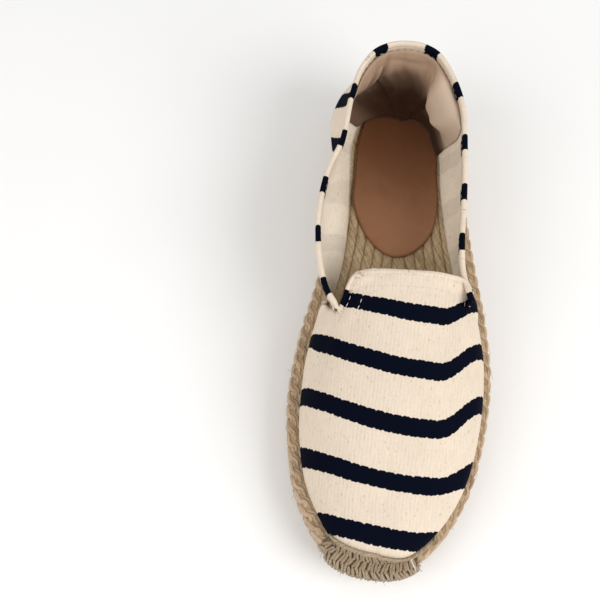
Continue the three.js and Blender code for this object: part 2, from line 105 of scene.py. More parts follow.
# The upper's top line. Columns: around (share of the edge from toe tip to heel tip), across, along, rise,
# steep (0 arches over level, 1 ends upright), foot (how long the wall climbs upright first).
ACROSS, ALONG, RISE, STEEP, FOOT = 1, 2, 3, 4, 5
RIDGE = [
    (0, -0.05, 0.89, 0.44, 0, 0.55), (0.1, -0.042, 0.866, 0.48, 0, 0.5),
    (0.2, -0.02, 0.803, 0.61, 0, 0.5), (0.3, 0.01, 0.713, 0.775, 0, 0.52),
    (0.4, 0.05, 0.595, 0.925, 0, 0.54), (0.46, 0.074, 0.508, 1, 0, 0.56),
]
LATERAL_TAB = [
    (0.46, 0.074, 0.508, 1, 0, 0.56), (0.472, 0.4, 0.506, 0.965, 0.1, 0.55),
    (0.482, 0.595, 0.511, 0.925, 0.4, 0.5), (0.492, 0.67, 0.527, 0.89, 0.8, 0.45),
    (0.505, 0.685, 0.553, 0.85, 0.9, 0.4),
]
MEDIAL_TAB = [
    (0.46, 0.074, 0.508, 1, 0, 0.56), (0.47, -0.22, 0.507, 0.97, 0.1, 0.55),
    (0.478, -0.39, 0.511, 0.93, 0.5, 0.5), (0.486, -0.465, 0.528, 0.89, 0.9, 0.45),
    (0.495, -0.51, 0.554, 0.835, 1.0, 0.42), (0.505, -0.56, 0.58, 0.78, 0.95, 0.4),
]
LATERAL_COLLAR = [
    (0.485, 0.96, 0.585, 0.64, 0.6, 0.4), (0.505, 0.995, 0.553, 0.757, 0.65, 0.4),
    (0.55, 0.88, 0.496, 0.775, 0.9, 0.4), (0.6, 0.86, 0.433, 0.79, 1, 0.4),
    (0.675, 0.885, 0.346, 0.81, 1, 0.4),
    (0.76, 0.885, 0.248, 0.85, 1, 0.4), (0.835, 0.84, 0.161, 0.9, 1, 0.4),
    (0.89, 0.67, 0.097, 0.95, 1, 0.4), (0.94, 0.42, 0.05, 0.985, 1, 0.4), (1, 0, 0.034, 1, 1, 0.4),
    (1.06, -0.42, 0.054, 0.985, 1, 0.4),
]
MEDIAL_COLLAR = [
    (0.485, -0.74, 0.605, 0.6, 0.55, 0.4), (0.505, -0.803, 0.578, 0.69, 0.6, 0.4),
    (0.53, -0.985, 0.543, 0.735, 0.8, 0.4), (0.56, -1.09, 0.5, 0.757, 1, 0.4),
    (0.6, -1.15, 0.449, 0.775, 1, 0.4),
    (0.64, -1.167, 0.402, 0.79, 1, 0.4), (0.69, -1.13, 0.343, 0.81, 1, 0.4),
    (0.73, -1.055, 0.299, 0.835, 1, 0.4), (0.775, -0.9, 0.244, 0.87, 1, 0.4),
    (0.84, -0.81, 0.154, 0.925, 1, 0.4), (0.89, -0.68, 0.092, 0.965, 1, 0.4),
    (0.94, -0.43, 0.049, 0.99, 1, 0.4), (1, 0, 0.034, 1, 1, 0.4), (1.06, 0.43, 0.053, 0.99, 1, 0.4),
]

# How the walls stand. Columns: around, tuck (how much further in than the rim, a share of BRAID) and belly (a
# share of half of the width).
TUCK, BELLY = 1, 2
LATERAL_STANCE = [
    (0, 0, 0.02), (0.06, 0, 0.13), (0.2, 0, 0.2), (0.33, 0, 0.14), (0.45, 0.2, 0.1), (0.56, 0.6, 0.1),
    (0.68, 0.7, 0.12), (0.76, 0.65, 0.12), (0.84, 0.6, 0.12), (0.92, 0.5, 0.14), (1, 0.6, 0.24),
]
MEDIAL_STANCE = [
    (0, 0, 0), (0.06, 0, 0), (0.2, 0, 0), (0.33, 0, 0), (0.45, 0.15, 0.05), (0.56, 0.4, 0.06),
    (0.68, 0.1, 0.08), (0.76, 0, 0.3), (0.84, 0, 0.52), (0.92, 0.25, 0.42), (1, 0.6, 0.24),
]

# The pad's outline: across (share of half its width) and along (share of its length, from its back end).
PAD_OUTLINE = [
    (-0.16, 0), (0.44, 0.05), (0.78, 0.2), (0.84, 0.45), (0.86, 0.68), (0.7, 0.86), (0.3, 0.98),
    (-0.06, 1), (-0.48, 0.92), (-0.82, 0.74), (-1.0, 0.48), (-1.02, 0.22), (-0.7, 0.04),
]


# Curves and the shoe's own surfaces.
def unit(vectors):
    """Vectors in the same directions, of length 1."""
    return vectors / np.linalg.norm(vectors, axis=-1, keepdims=True)


def line_reach(line):
    """Distances of a line's points from its start, along it."""
    return np.concatenate([[0], np.cumsum(np.linalg.norm(np.diff(line, axis=0), axis=1))])


def bell(x, width, power=2):
    """1 where x is 0, falling to about a third at the width to either side."""
    return np.exp(-((x / width) ** power))


def column(rows, name, around):
    """Smooth interpolation of one column of a table whose first column runs along the edge."""
    table = np.array(rows, float)
    x, y = table[:, 0], table[:, name]
    last = len(table) - 1
    at = np.clip(around, x[0], x[last])
    k = np.clip(np.searchsorted(x, at, side="left") - 1, 0, last - 1)
    before, after = np.maximum(k - 1, 0), np.minimum(k + 2, last)
    step = x[k + 1] - x[k]
    start = (y[k + 1] - y[before]) / (x[k + 1] - x[before]) * step
    end = (y[after] - y[k]) / (x[after] - x[k]) * step
    s = (at - x[k]) / step
    here, there = 2 * s**3 - 3 * s**2 + 1, 3 * s**2 - 2 * s**3
    return y[k] * here + start * (s**3 - 2 * s**2 + s) + y[k + 1] * there + end * (s**3 - s**2)


def closed_curve(points, samples):
    """Dense points along a closed centripetal Catmull-Rom curve, and their distances from its start."""
    p = np.array(points, float)
    t = np.linspace(0, 1, samples, endpoint=False)[:, None]
    spans = []
    for k in range(len(p)):
        a, b, c, d = p[k - 1], p[k], p[(k + 1) % len(p)], p[(k + 2) % len(p)]
        ab, bc, cd = (np.linalg.norm(q - r) ** 0.5 for q, r in ((a, b), (b, c), (c, d)))
        start = ((b - a) / ab - (c - a) / (ab + bc) + (c - b) / bc) * bc
        end = ((c - b) / bc - (d - b) / (bc + cd) + (d - c) / cd) * bc
        spans.append(b + start * t + (3 * (c - b) - 2 * start - end) * t**2
                     + (2 * (b - c) + start + end) * t**3)
    curve = np.vstack(spans + [p[:1]])
    return curve, line_reach(curve)


def y_of(along):
    """The shoe's own y at a share of its length from the heel."""
    return SOLE_LENGTH * (0.5 - along)


edge_rows = [TOE_TIP] + LATERAL_EDGE + [HEEL_TIP] + MEDIAL_EDGE[::-1]
EDGE_SAMPLES = 60
EDGE, EDGE_REACH = closed_curve(
    [(across * width / 2, y_of(along)) for across, width, along in edge_rows], EDGE_SAMPLES)
EDGE_LENGTH = EDGE_REACH[-1]
LATERAL_LENGTH = EDGE_REACH[(len(LATERAL_EDGE) + 1) * EDGE_SAMPLES]
MEDIAL_LENGTH = EDGE_LENGTH - LATERAL_LENGTH

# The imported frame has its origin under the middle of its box: this is how far the shoe moved to get there.
jute_low, jute_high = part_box("jute_sole")
FRAME_SHIFT = np.array([(jute_low.x + jute_high.x) / 2 / MM, jute_high.y / MM - y_of(0), 0.0])


def lift(y):
    """How far the toe spring raises the sole."""
    spring = np.maximum(0, (y_of(SPRING_START) - y) / (y_of(SPRING_START) - y_of(1)))
    return TOE_SPRING * spring**2


def edge_at(reach):
    """Points on the sole's edge and their outward directions, from distances round it."""
    def point(at):
        at = np.mod(at, EDGE_LENGTH)
        return np.stack([np.interp(at, EDGE_REACH, EDGE[:, k]) for k in (0, 1)], -1)

    along = unit(point(reach + 0.6) - point(reach - 0.6))
    return point(reach), np.stack([along[..., 1], -along[..., 0]], -1)


def outwards(reach):
    """Level outward directions on the sole's edge, in three coordinates."""
    level = edge_at(reach)[1]
    return np.concatenate([level, np.zeros(level.shape[:-1] + (1,))], -1)


def edgewise(reach):
    """Level direction along the sole's edge at one place, as one row."""
    _, outward = edge_at(np.array([reach]))
    return np.array([[-outward[0, 1], outward[0, 0], 0.0]])


def beside_reach(reach, out, height):
    """Points beside the sole's edge: out is the distance outwards, height is from the ground at the heel."""
    at, outward = edge_at(reach)
    xy = at + outward * np.asarray(out)[..., None]
    return np.concatenate([xy, (height + lift(xy[..., 1]))[..., None]], -1)


def reach_of(s):
    """Distance round the edge of a station: s is 0 at the toe tip, 1 or -1 at the heel and + laterally."""
    return np.where(s >= 0, s * LATERAL_LENGTH, EDGE_LENGTH + s * MEDIAL_LENGTH)


def either(lateral, medial, name, s):
    """A column of the lateral or of the medial table, whichever side a station is on."""
    around = np.abs(s)
    return np.where(s >= 0, column(lateral, name, around), column(medial, name, around))


def stance(name, s):
    """How the wall stands above a station: one column of the tables of tuck and belly."""
    return either(LATERAL_STANCE, MEDIAL_STANCE, name, s)


def feather(s):
    """How far in from the sole's edge the foot of the wall is."""
    return BRAID * (1 + stance(TUCK, s))


def top_line(s, part):
    """Where the upper ends above a station: the vamp's ridge and tab, or the quarters' collar."""
    def pick(name):
        if part == "quarters":
            return either(LATERAL_COLLAR, MEDIAL_COLLAR, name, s)
        tab = either(LATERAL_TAB, MEDIAL_TAB, name, s)
        return np.where(np.abs(s) <= TAB_AT, column(RIDGE, name, np.abs(s)), tab)

    width, rise = (HEEL_WIDTH, HEEL_RISE) if part == "quarters" else (BALL_WIDTH, INSTEP_RISE)
    at = np.stack([pick(ACROSS) * width / 2, y_of(pick(ALONG)), SOLE_TOP + pick(RISE) * rise], -1)
    return at, pick(STEEP), pick(FOOT)


def wall(s, v, part):
    """Points on the upper's outer surface: v is 0 at the foot of the canvas and 1 on its top line."""
    s, v = np.broadcast_arrays(np.asarray(s, float), np.asarray(v, float))
    reach = reach_of(s)
    foot = beside_reach(reach, -feather(s), CANVAS_FOOT)
    outward = outwards(reach)
    top, steep, foot_share = top_line(s, part)
    level = (top - foot) * [1, 1, 0]
    climb = top[..., 2] - foot[..., 2]
    side_share = np.sin(math.pi * np.minimum(1, np.abs(s) / 0.5)) ** 2
    fullness = foot_share * np.where(s >= 0, 1 + (LATERAL_FULLNESS - 1) * side_share, 1)
    low = foot + outward * (stance(BELLY, s) * BALL_WIDTH / 2)[..., None]
    low[..., 2] += climb * fullness
    lean = steep * math.pi / 2
    high = top - level * (np.cos(lean) * TOP_FULLNESS)[..., None]
    high[..., 2] -= climb * np.sin(lean) * TOP_FULLNESS
    t = v[..., None]
    return foot * (1 - t) ** 3 + 3 * low * t * (1 - t) ** 2 + 3 * high * t**2 * (1 - t) + top * t**3


def wall_normal(s, v, part):
    """Outward normals of the upper's wall."""
    s, v = np.broadcast_arrays(np.asarray(s, float), np.asarray(v, float))
    ds, dv = 0.003, 0.01
    along = wall(np.minimum(s + ds, 1), v, part) - wall(np.maximum(s - ds, -1), v, part)
    up = wall(s, v + dv, part) - wall(s, v - dv, part)
    return unit(np.cross(along, up))


def rib_length(s):
    """Length of the quarters' wall from foot to collar, judged by its top fifth."""
    return np.linalg.norm(wall(s, 1.0, "quarters") - wall(s, 0.8, "quarters"), axis=-1) / 0.2


def smooth(low, high, x):
    """Rises gently from 0 at low to 1 at high."""
    t = np.clip((x - low) / (high - low), 0, 1)
    return t * t * (3 - 2 * t)


# Where the vamp's woven stripes run: y along the middle of the vamp, from toe to instep, and their numbers.
# The cloth's middle lies CLOTH_SHIFT to the medial side. The bows say how far stripes bend away from the toe.
STRIPE_PITCH = 25.5
CLOTH_SHIFT = 1.25
STRIPE_ROWS = ([-114.0, -92.0, -69.0, -45.0, -21.0], [4.5, 3.5, 2.5, 1.5, 0.5])
PITCH_AT_INSTEP = 24.0
PITCH_AT_TOE = 22.0
MEDIAL_BOW = 17.0
MEDIAL_BOW_SHARES = ([-106, -81, -65, -52, -38, -26, -14], [0.68, 0.78, 0.92, 0.97, 1.04, 1.14, 0.85])
LATERAL_BOW = 17.0
MEDIAL_NOTCH_X = -25.6


def vamp_cloth(points):
    """Cloth coordinates of points on the vamp: across the cloth and along it, in millimetres."""
    x, y = points[:, 0] + CLOTH_SHIFT, points[:, 1]
    medial = MEDIAL_BOW * np.maximum(0, (12 - x) / 51) ** 1.9 * np.interp(y, *MEDIAL_BOW_SHARES)
    medial = medial + 0.6 * np.maximum(0, -33 - x) * smooth(-42, -30, y)
    lateral_start = np.interp(y, [-115, -90], [9, 19])
    lateral_share = np.interp(y, [-112, -84, -62], [0.3, 0.66, 1.0])
    lateral = LATERAL_BOW * smooth(lateral_start, lateral_start + 25, x) * lateral_share
    straight = y - medial - lateral
    rows, numbers = STRIPE_ROWS
    number = np.interp(straight, rows, numbers)
    number = np.where(straight > rows[-1], numbers[-1] - (straight - rows[-1]) / PITCH_AT_INSTEP, number)
    number = np.where(straight < rows[0], numbers[0] + (rows[0] - straight) / PITCH_AT_TOE, number)
    number = np.where(x < MEDIAL_NOTCH_X, np.maximum(number, 1.0), number)
    shares = np.linspace(0, TAB_AT, 60)
    ridge = top_line(shares, "vamp")[0]
    front = wall(np.zeros(20), np.linspace(0, 1, 20), "vamp")
    spine = np.vstack([front[:-1], ridge])
    spine_x = np.interp(y, spine[:, 1], spine[:, 0])
    spine_z = np.interp(y, spine[:, 1], spine[:, 2])
    away = points[:, 0] - spine_x
    drop = (points[:, 2] - spine_z) * smooth(1.0, 9.0, np.abs(away))
    across = np.sign(away) * np.hypot(away, drop)
    return np.stack([across, number * STRIPE_PITCH], -1)


# Mesh helpers.
def finish_mesh(name, bm, material):
    """Makes the bmesh, in millimetres in the shoe's own frame, a finished piece of the object."""
    bmesh.ops.translate(bm, verts=bm.verts, vec=Vector(FRAME_SHIFT))
    bmesh.ops.scale(bm, verts=bm.verts, vec=Vector((MM, MM, MM)))
    mesh = bpy.data.meshes.new(name)
    bm.to_mesh(mesh)
    bm.free()
    mesh.polygons.foreach_set("use_smooth", [True] * len(mesh.polygons))
    piece = bpy.data.objects.new(name, mesh)
    bpy.context.scene.collection.objects.link(piece)
    piece.data.materials.append(material)
    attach(piece, "root")
    return piece


def grid(u_steps, v_steps, place, cloth=None):
    """A bmesh grid with corners put in place by a function of u and v, from 0 to 1, and its cloth UVs."""
    bm = bmesh.new()
    bmesh.ops.create_grid(bm, x_segments=u_steps, y_segments=v_steps, size=0.5)
    flat = np.array([vert.co for vert in bm.verts]) + 0.5
    u, v = flat[:, 0], flat[:, 1]
    points = place(u, v)
    for vert, point in zip(bm.verts, points):
        vert.co = point
    if cloth is not None:
        coordinates = cloth(u, v, points)
        layer = bm.loops.layers.uv.new("cloth")
        bm.verts.index_update()
        for face in bm.faces:
            for loop in face.loops:
                loop[layer].uv = coordinates[loop.vert.index]
    return bm


def closed(bm, distance=0.001):
    """Merges the corners that meet, turns every face outwards and returns the bmesh."""
    bmesh.ops.remove_doubles(bm, verts=bm.verts, dist=distance)
    bmesh.ops.recalc_face_normals(bm, faces=bm.faces)
    return bm


def add_bottom(bm, height, distance):
    """Closes an open top from below: walls down from its rim to a height for each corner, and a bottom."""
    rim = [edge for edge in bm.edges if edge.is_boundary]
    for low in bmesh.ops.extrude_edge_only(bm, edges=rim)["geom"]:
        if isinstance(low, bmesh.types.BMVert):
            low.co.z = height(low.co)
    bmesh.ops.contextual_create(bm, geom=[edge for edge in bm.edges if edge.is_boundary])
    return closed(bm, distance)


def join(bm, part):
    """Adds one bmesh to another and frees it."""
    mesh = bpy.data.meshes.new("part")
    part.to_mesh(mesh)
    part.free()
    bm.from_mesh(mesh)
    bpy.data.meshes.remove(mesh)


def add_modifier(piece, kind, **values):
    modifier = piece.modifiers.new(kind.title(), kind)
    for key, value in values.items():
        setattr(modifier, key, value)
    return modifier


# Materials. Every pattern reads the piece's own cloth UVs in millimetres, or Object coordinates.
class Value:
    """A node's output. Arithmetic with values makes Math nodes."""

    def __init__(self, socket):
        self.socket = socket
        self.tree = socket.id_data

    def __add__(self, other):
        return calc("ADD", self, other)

    def __sub__(self, other):
        return calc("SUBTRACT", self, other)

    def __rsub__(self, other):
        return calc("SUBTRACT", other, self)

    def __mul__(self, other):
        return calc("MULTIPLY", self, other)

    def __truediv__(self, other):
        return calc("DIVIDE", self, other)


def feed(socket, value):
    """Links a value to a socket, or sets a constant on it."""
    if isinstance(value, Value):
        value.tree.links.new(value.socket, socket)
    else:
        socket.default_value = value


def put(tree, kind, settings=None, **sockets):
    """A new node with its settings and its sockets fed by name, with underscores for the spaces."""
    made = tree.nodes.new(kind)
    for key, value in (settings or {}).items():
        setattr(made, key, value)
    for key, value in sockets.items():
        feed(made.inputs[key.replace("_", " ")], value)
    return made


def tree_of(*values):
    """The node tree that the first value among some values and constants belongs to."""
    return next(value.tree for value in values if isinstance(value, Value))


def calc(operation, *values):
    """A Math node fed in order."""
    made = put(tree_of(*values), "ShaderNodeMath", {"operation": operation})
    for socket, value in zip(made.inputs, values):
        feed(socket, value)
    return Value(made.outputs[0])


def between(value, low, high, out_low=0.0, out_high=1.0):
    """Smoothly turns the span from low to high into the span from out_low to out_high."""
    made = put(value.tree, "ShaderNodeMapRange", {"interpolation_type": "SMOOTHSTEP"}, Value=value,
               From_Min=low, From_Max=high, To_Min=out_low, To_Max=out_high)
    return Value(made.outputs["Result"])


def mix(factor, a, b, blend="MIX"):
    """Mixes two colours: on this node, sockets 6 and 7 take colours and output 2 gives one."""
    settings = {"data_type": "RGBA", "blend_type": blend}
    made = put(tree_of(factor, a, b), "ShaderNodeMix", settings, Factor=factor)
    feed(made.inputs[6], a)
    feed(made.inputs[7], b)
    return Value(made.outputs[2])


def noise(vector, scale, detail=2.0, roughness=0.5):
    made = put(vector.tree, "ShaderNodeTexNoise", None, Vector=vector, Scale=scale, Detail=detail,
               Roughness=roughness)
    return Value(made.outputs["Fac"])


def cells(vector, feature, scale):
    """Distance in a pattern of random cells."""
    made = put(vector.tree, "ShaderNodeTexVoronoi", {"feature": feature}, Vector=vector, Scale=scale)
    return Value(made.outputs["Distance"])


def stretched(vector, scale):
    return Value(put(vector.tree, "ShaderNodeMapping", None, Vector=vector, Scale=scale).outputs["Vector"])


def parts(vector):
    """The three coordinates of a vector."""
    return [Value(part) for part in put(vector.tree, "ShaderNodeSeparateXYZ", None, Vector=vector).outputs]


def new_group(name, inputs, outputs):
    """A shader node group with named sockets: returns its tree, given values and result sockets."""
    tree = bpy.data.node_groups.new(name, "ShaderNodeTree")
    for label, kind, value in inputs:
        socket = tree.interface.new_socket(label, in_out="INPUT", socket_type=kind)
        if value is not None:
            socket.default_value = value
    for label, kind in outputs:
        tree.interface.new_socket(label, in_out="OUTPUT", socket_type=kind)
    given = {socket.name: Value(socket) for socket in tree.nodes.new("NodeGroupInput").outputs if socket.name}
    return tree, given, tree.nodes.new("NodeGroupOutput").inputs


YARN_PITCH = 2.8
INSOLE_LOBE = 5.2
INSOLE_ROW = 4.9
FLOAT, COLOUR, VECTOR = "NodeSocketFloat", "NodeSocketColor", "NodeSocketVector"
RESULTS = [("Color", COLOUR), ("Height", FLOAT), ("Roughness", FLOAT)]


def woven_canvas_group():
    """Ribbed canvas with woven stripes. Coordinate is in millimetres: x across the cloth, y along it."""
    tree, given, results = new_group("woven canvas", [
        ("Coordinate", VECTOR, None), ("Cloth", COLOUR, (0.8, 0.72, 0.6, 1)),
        ("Stripe", COLOUR, (0.0012, 0.002, 0.007, 1)), ("Stripe Strength", FLOAT, 1.0),
        ("Stripe Width", FLOAT, 7.6), ("Stripe Pitch", FLOAT, STRIPE_PITCH),
    ], RESULTS)
    place, pitch = given["Coordinate"], given["Stripe Pitch"]
    across, along, _ = parts(place)

    def pattern(x, y, detail=2.0, roughness=0.5):
        return noise(stretched(place, (x, y, 1)), 1.0, detail, roughness)

    # The stripes, with an edge that steps from rib to rib and wanders slowly.
    slow = pattern(0.11, 0.02)
    wave = calc("PINGPONG", across, 1.85) * 0.2 + calc("PINGPONG", across, 0.93) * 0.35
    wave = wave + (pattern(1.3, 0.25) - 0.5) * 0.6
    share = calc("FRACT", (along + (slow - 0.5)) / pitch)
    from_middle = calc("ABSOLUTE", share - 0.5) * pitch
    stripe = between(given["Stripe Width"] * 0.5 + (wave - 0.33) - from_middle, -0.12, 0.16)
    strength = stripe * given["Stripe Strength"]

    # Ribs, weft, streaks along the cloth, clouds, grain and dark flecks.
    rib = between(calc("PINGPONG", across + (slow - 0.5) * 0.8, 0.8), 0.0, 0.5)
    weft = between(calc("PINGPONG", along, 0.42), 0.0, 0.3)
    lengthwise = pattern(1.1, 0.16, 3.0, 0.6)
    cloudy = pattern(0.06, 0.05, 3.0, 0.55)
    grain = pattern(1.9, 0.8)
    fleck = between(pattern(1.0, 0.42, 1.0), 0.67, 0.74)

    # The ribs and weft lighten and darken the cloth a little, a painted shade of the weave's relief; the
    # streaks, clouds and grain are the cloth's own tone.
    tone = rib * 0.035 + 0.9 + weft * 0.015 + (lengthwise - 0.5) * 0.22
    tone = tone + (grain - 0.5) * 0.2 + (cloudy - 0.5) * 0.16
    shade = Value(put(tree, "ShaderNodeCombineColor", None, Red=tone, Green=tone, Blue=tone).outputs[0])
    cloth = mix(1.0, given["Cloth"], shade, "MULTIPLY")
    cloth = mix(fleck * 0.45, cloth, (0.33, 0.22, 0.12, 1))
    dark = mix(grain * 0.5, given["Stripe"], (0.003, 0.005, 0.016, 1))
    feed(results["Color"], mix(strength, cloth, dark))
    feed(results["Height"], rib * 0.2 + weft * 0.12 + (grain + lengthwise) * 0.4 + strength * 0.5)
    feed(results["Roughness"], grain * 0.1 + 0.86)
    return tree


def jute_group():
    """Coarse jute yarn. Coordinate is in millimetres: x across the yarn, y along it."""
    tree, given, results = new_group("jute yarn", [
        ("Coordinate", VECTOR, None), ("Light", COLOUR, (0.52, 0.4, 0.25, 1)),
        ("Dark", COLOUR, (0.2, 0.12, 0.055, 1)), ("Twist", FLOAT, 0.5), ("Groove", FLOAT, 0.0),
    ], RESULTS)
    place = given["Coordinate"]
    across, along, deep = parts(place)
    laid = put(tree, "ShaderNodeCombineXYZ", None, X=across + along * given["Twist"], Y=along, Z=deep)
    laid = Value(laid.outputs[0])
    fibre = noise(stretched(laid, (3.2, 0.22, 0.5)), 1.0, 3.0, 0.65)
    bundle = noise(stretched(laid, (0.9, 0.06, 0.2)), 1.0)
    patch = noise(stretched(place, (0.05, 0.07, 0.05)), 1.0)
    tone = fibre * 0.6 + bundle * 0.4
    # Groove paints shade into the grooves between the yarns, darkening them.
    groove = between(calc("PINGPONG", across, YARN_PITCH / 2), 0.0, 0.42)
    share = between(tone, 0.28, 0.62) * (1.0 - given["Groove"] * (1.0 - groove))
    colour = mix(share, given["Dark"], given["Light"])
    warm = mix(between(patch, 0.4, 0.7, 0.0, 0.35), colour, (0.62, 0.4, 0.22, 1), "MULTIPLY")
    feed(results["Color"], mix(0.5, colour, warm))
    feed(results["Height"], tone)
    feed(results["Roughness"], fibre * 0.15 + 0.8)
    return tree


woven_canvas = woven_canvas_group()
jute_yarn = jute_group()


def new_material(name, **constants):
    """A material with one Principled BSDF, whose constants are set on its own sockets."""
    made = bpy.data.materials.new(name)
    made.use_nodes = True
    tree = made.node_tree
    tree.nodes.clear()
    shader = put(tree, "ShaderNodeBsdfPrincipled", None, **constants)
    surface = put(tree, "ShaderNodeOutputMaterial")
    tree.links.new(shader.outputs[0], surface.inputs["Surface"])
    return made, tree, shader


def finish_shader(shader, colour, roughness, height, distance, strength):
    """Feeds a shader its colour and roughness, and its normal through a bump."""
    feed(shader.inputs["Base Color"], colour)
    feed(shader.inputs["Roughness"], roughness)
    made = put(shader.id_data, "ShaderNodeBump", None, Height=height, Strength=strength, Distance=distance)
    feed(shader.inputs["Normal"], Value(made.outputs["Normal"]))


def cloth_uv(tree):
    return Value(put(tree, "ShaderNodeUVMap", {"uv_map": "cloth"}).outputs["UV"])


def object_millimetres(tree):
    return stretched(Value(put(tree, "ShaderNodeTexCoord").outputs["Object"]), (1 / MM, 1 / MM, 1 / MM))


def shared(tree, group, **sockets):
    """The colour, height and roughness that a shared group puts out."""
    made = put(tree, "ShaderNodeGroup", {"node_tree": group}, **sockets)
    return [Value(made.outputs[name]) for name in ("Color", "Height", "Roughness")]


def canvas_material(name, cloth, strength=1.0, width=8.2):
    made, tree, shader = new_material(name, Specular_IOR_Level=0.05)
    colour, height, roughness = shared(tree, woven_canvas, Coordinate=cloth_uv(tree), Cloth=cloth,
                                       Stripe_Strength=strength, Stripe_Width=width)
    finish_shader(shader, colour, roughness, height, 0.0004, 0.8)
    return made


def jute_material(name, light, dark, twist=0.5, groove=0.0):
    made, tree, shader = new_material(name, Specular_IOR_Level=0.2, Sheen_Weight=0.2, Sheen_Roughness=0.6)
    colour, height, roughness = shared(tree, jute_yarn, Coordinate=cloth_uv(tree), Light=light, Dark=dark,
                                       Twist=twist, Groove=groove)
    finish_shader(shader, colour, roughness, height, 0.0006, 0.9)
    return made


def insole_jute():
    """Jute of the insole. The cloth UV is the distance in from the sole's edge and the one round it."""
    made, tree, shader = new_material("jute insole", Specular_IOR_Level=0.2)
    yarn, yarn_height, roughness = shared(tree, jute_yarn, Coordinate=object_millimetres(tree), Twist=0.5,
                                          Light=(0.68, 0.535, 0.335, 1), Dark=(0.27, 0.175, 0.09, 1))
    coordinate = cloth_uv(tree)
    inwards, around, _ = parts(coordinate)
    row = (inwards + (noise(coordinate, 0.35) - 0.5) * 1.6) / INSOLE_ROW
    # Painted shade in the valleys between the plait's rows and along the slanted seams of its strands; the same
    # mask sinks the bump there.
    valley_shade = between(calc("PINGPONG", row, 0.5), 0.0, 0.13, 0.62, 0.0)
    seam_shade = between(calc("PINGPONG", around / INSOLE_LOBE + row, 0.5), 0.0, 0.14, 0.2, 0.0)
    dark = calc("MAXIMUM", valley_shade, seam_shade)
    colour = mix(dark, yarn, (0.15, 0.095, 0.05, 1))
    finish_shader(shader, colour, roughness, yarn_height - dark, 0.0006, 0.8)
    return made


def leather(name, light, dark, heel_shade):
    """Smooth leather, with painted shade that darkens it towards the heel."""
    made, tree, shader = new_material(name, Specular_IOR_Level=0.25)
    place = object_millimetres(tree)
    fine = noise(place, 1.2, 4.0, 0.6)
    colour = mix(between(noise(place, 0.035, 3.0, 0.6), 0.35, 0.65), dark, light)
    colour = mix(between(fine, 0.35, 0.7, 0.0, 0.3), colour, dark)
    # Painted shade: the leather darkens towards the heel, deep in the heel cup.
    colour = mix(between(parts(place)[1], 25.0, 100.0, 0.0, 0.85), colour, heel_shade)
    grain = between(cells(place, "DISTANCE_TO_EDGE", 1.6), 0.0, 0.12)
    finish_shader(shader, colour, between(fine, 0.3, 0.7, 0.5, 0.68), grain + fine * 0.5, 0.00012, 0.5)
    return made


def brushed_lining(name, colour, shadow, deep, painted_light):
    """Soft brushed lining with painted shade low down and painted light on its lateral front. The cloth UV is
    the place round the heel and the height.
    """
    made, tree, shader = new_material(name, Specular_IOR_Level=0.15, Sheen_Weight=0.1, Sheen_Roughness=0.5)
    place = object_millimetres(tree)
    nap = noise(place, 1.6, 3.0, 0.7)
    broad = noise(place, 0.09)
    tinted = mix(between(broad, 0.3, 0.7, 0.0, 0.6), colour, shadow)
    tinted = mix(between(nap, 0.35, 0.7, 0.0, 0.35), tinted, shadow)
    around, height, _ = parts(cloth_uv(tree))
    # Painted shade, strongest low down in the heel cup: the lateral front gets little of it above its foot, and
    # the medial front a little less.
    lateral_side = between(around, 28.0, 37.0, 0.12, 1.0)
    lateral_side = calc("MAXIMUM", lateral_side, between(height, 5.0, 15.0, 1.0, 0.0))
    medial_side = between(around, 104.0, 128.0, 1.0, 0.75)
    painted_shade = between(height + broad * 8.0, 9.0, 37.0, 1.0, 0.0) * (lateral_side * medial_side)
    # Painted light: the lateral front of the lining is lightened where the light falls on it.
    tinted = mix(between(around, 26.0, 38.0, 0.75, 0.0), tinted, painted_light)
    tinted = mix(painted_shade, tinted, deep)
    finish_shader(shader, tinted, between(nap, 0.3, 0.7, 0.8, 0.95), nap, 0.0003, 0.5)
    return made


def crepe_rubber(name, light, dark):
    made, tree, shader = new_material(name, Specular_IOR_Level=0.35)
    place = object_millimetres(tree)
    fine = noise(place, 0.9, 4.0, 0.6)
    colour = mix(between(fine, 0.3, 0.7), dark, light)
    height = cells(place, "F1", 0.55) + fine * 0.6
    finish_shader(shader, colour, between(fine, 0.3, 0.7, 0.7, 0.9), height, 0.0005, 0.6)
    return made


def thread_material(name, light, dark):
    made, tree, shader = new_material(name, Specular_IOR_Level=0.3, Sheen_Weight=0.2)
    ply = noise(object_millimetres(tree), 2.5)
    colour = mix(between(ply, 0.35, 0.65), dark, light)
    finish_shader(shader, colour, between(ply, 0.3, 0.7, 0.6, 0.8), ply, 0.0001, 0.5)
    return made


CREAM = (0.8, 0.68, 0.548, 1)
striped_canvas = canvas_material("striped canvas", CREAM)
quarter_lining = canvas_material("cream lining", (0.95, 0.85, 0.7, 1), strength=0.1, width=9.0)
# groove=0.7 paints shade into the grooves between the braid's yarns.
braid_jute = jute_material("plaited jute", (0.64, 0.485, 0.325, 1), (0.24, 0.13, 0.065, 1), twist=0.25,
                           groove=0.7)
shaded_jute = jute_material("jute ground", (0.2, 0.13, 0.07, 1), (0.08, 0.05, 0.025, 1))
stitch_jute = jute_material("jute stitching", (0.5, 0.38, 0.245, 1), (0.17, 0.11, 0.06, 1), twist=0.9)
insole_material = insole_jute()
# The last colour of the pad is painted shade towards the heel.
pad_leather = leather("brown leather", (0.36, 0.175, 0.09, 1), (0.3, 0.13, 0.064, 1),
                      (0.12, 0.04, 0.012, 1))
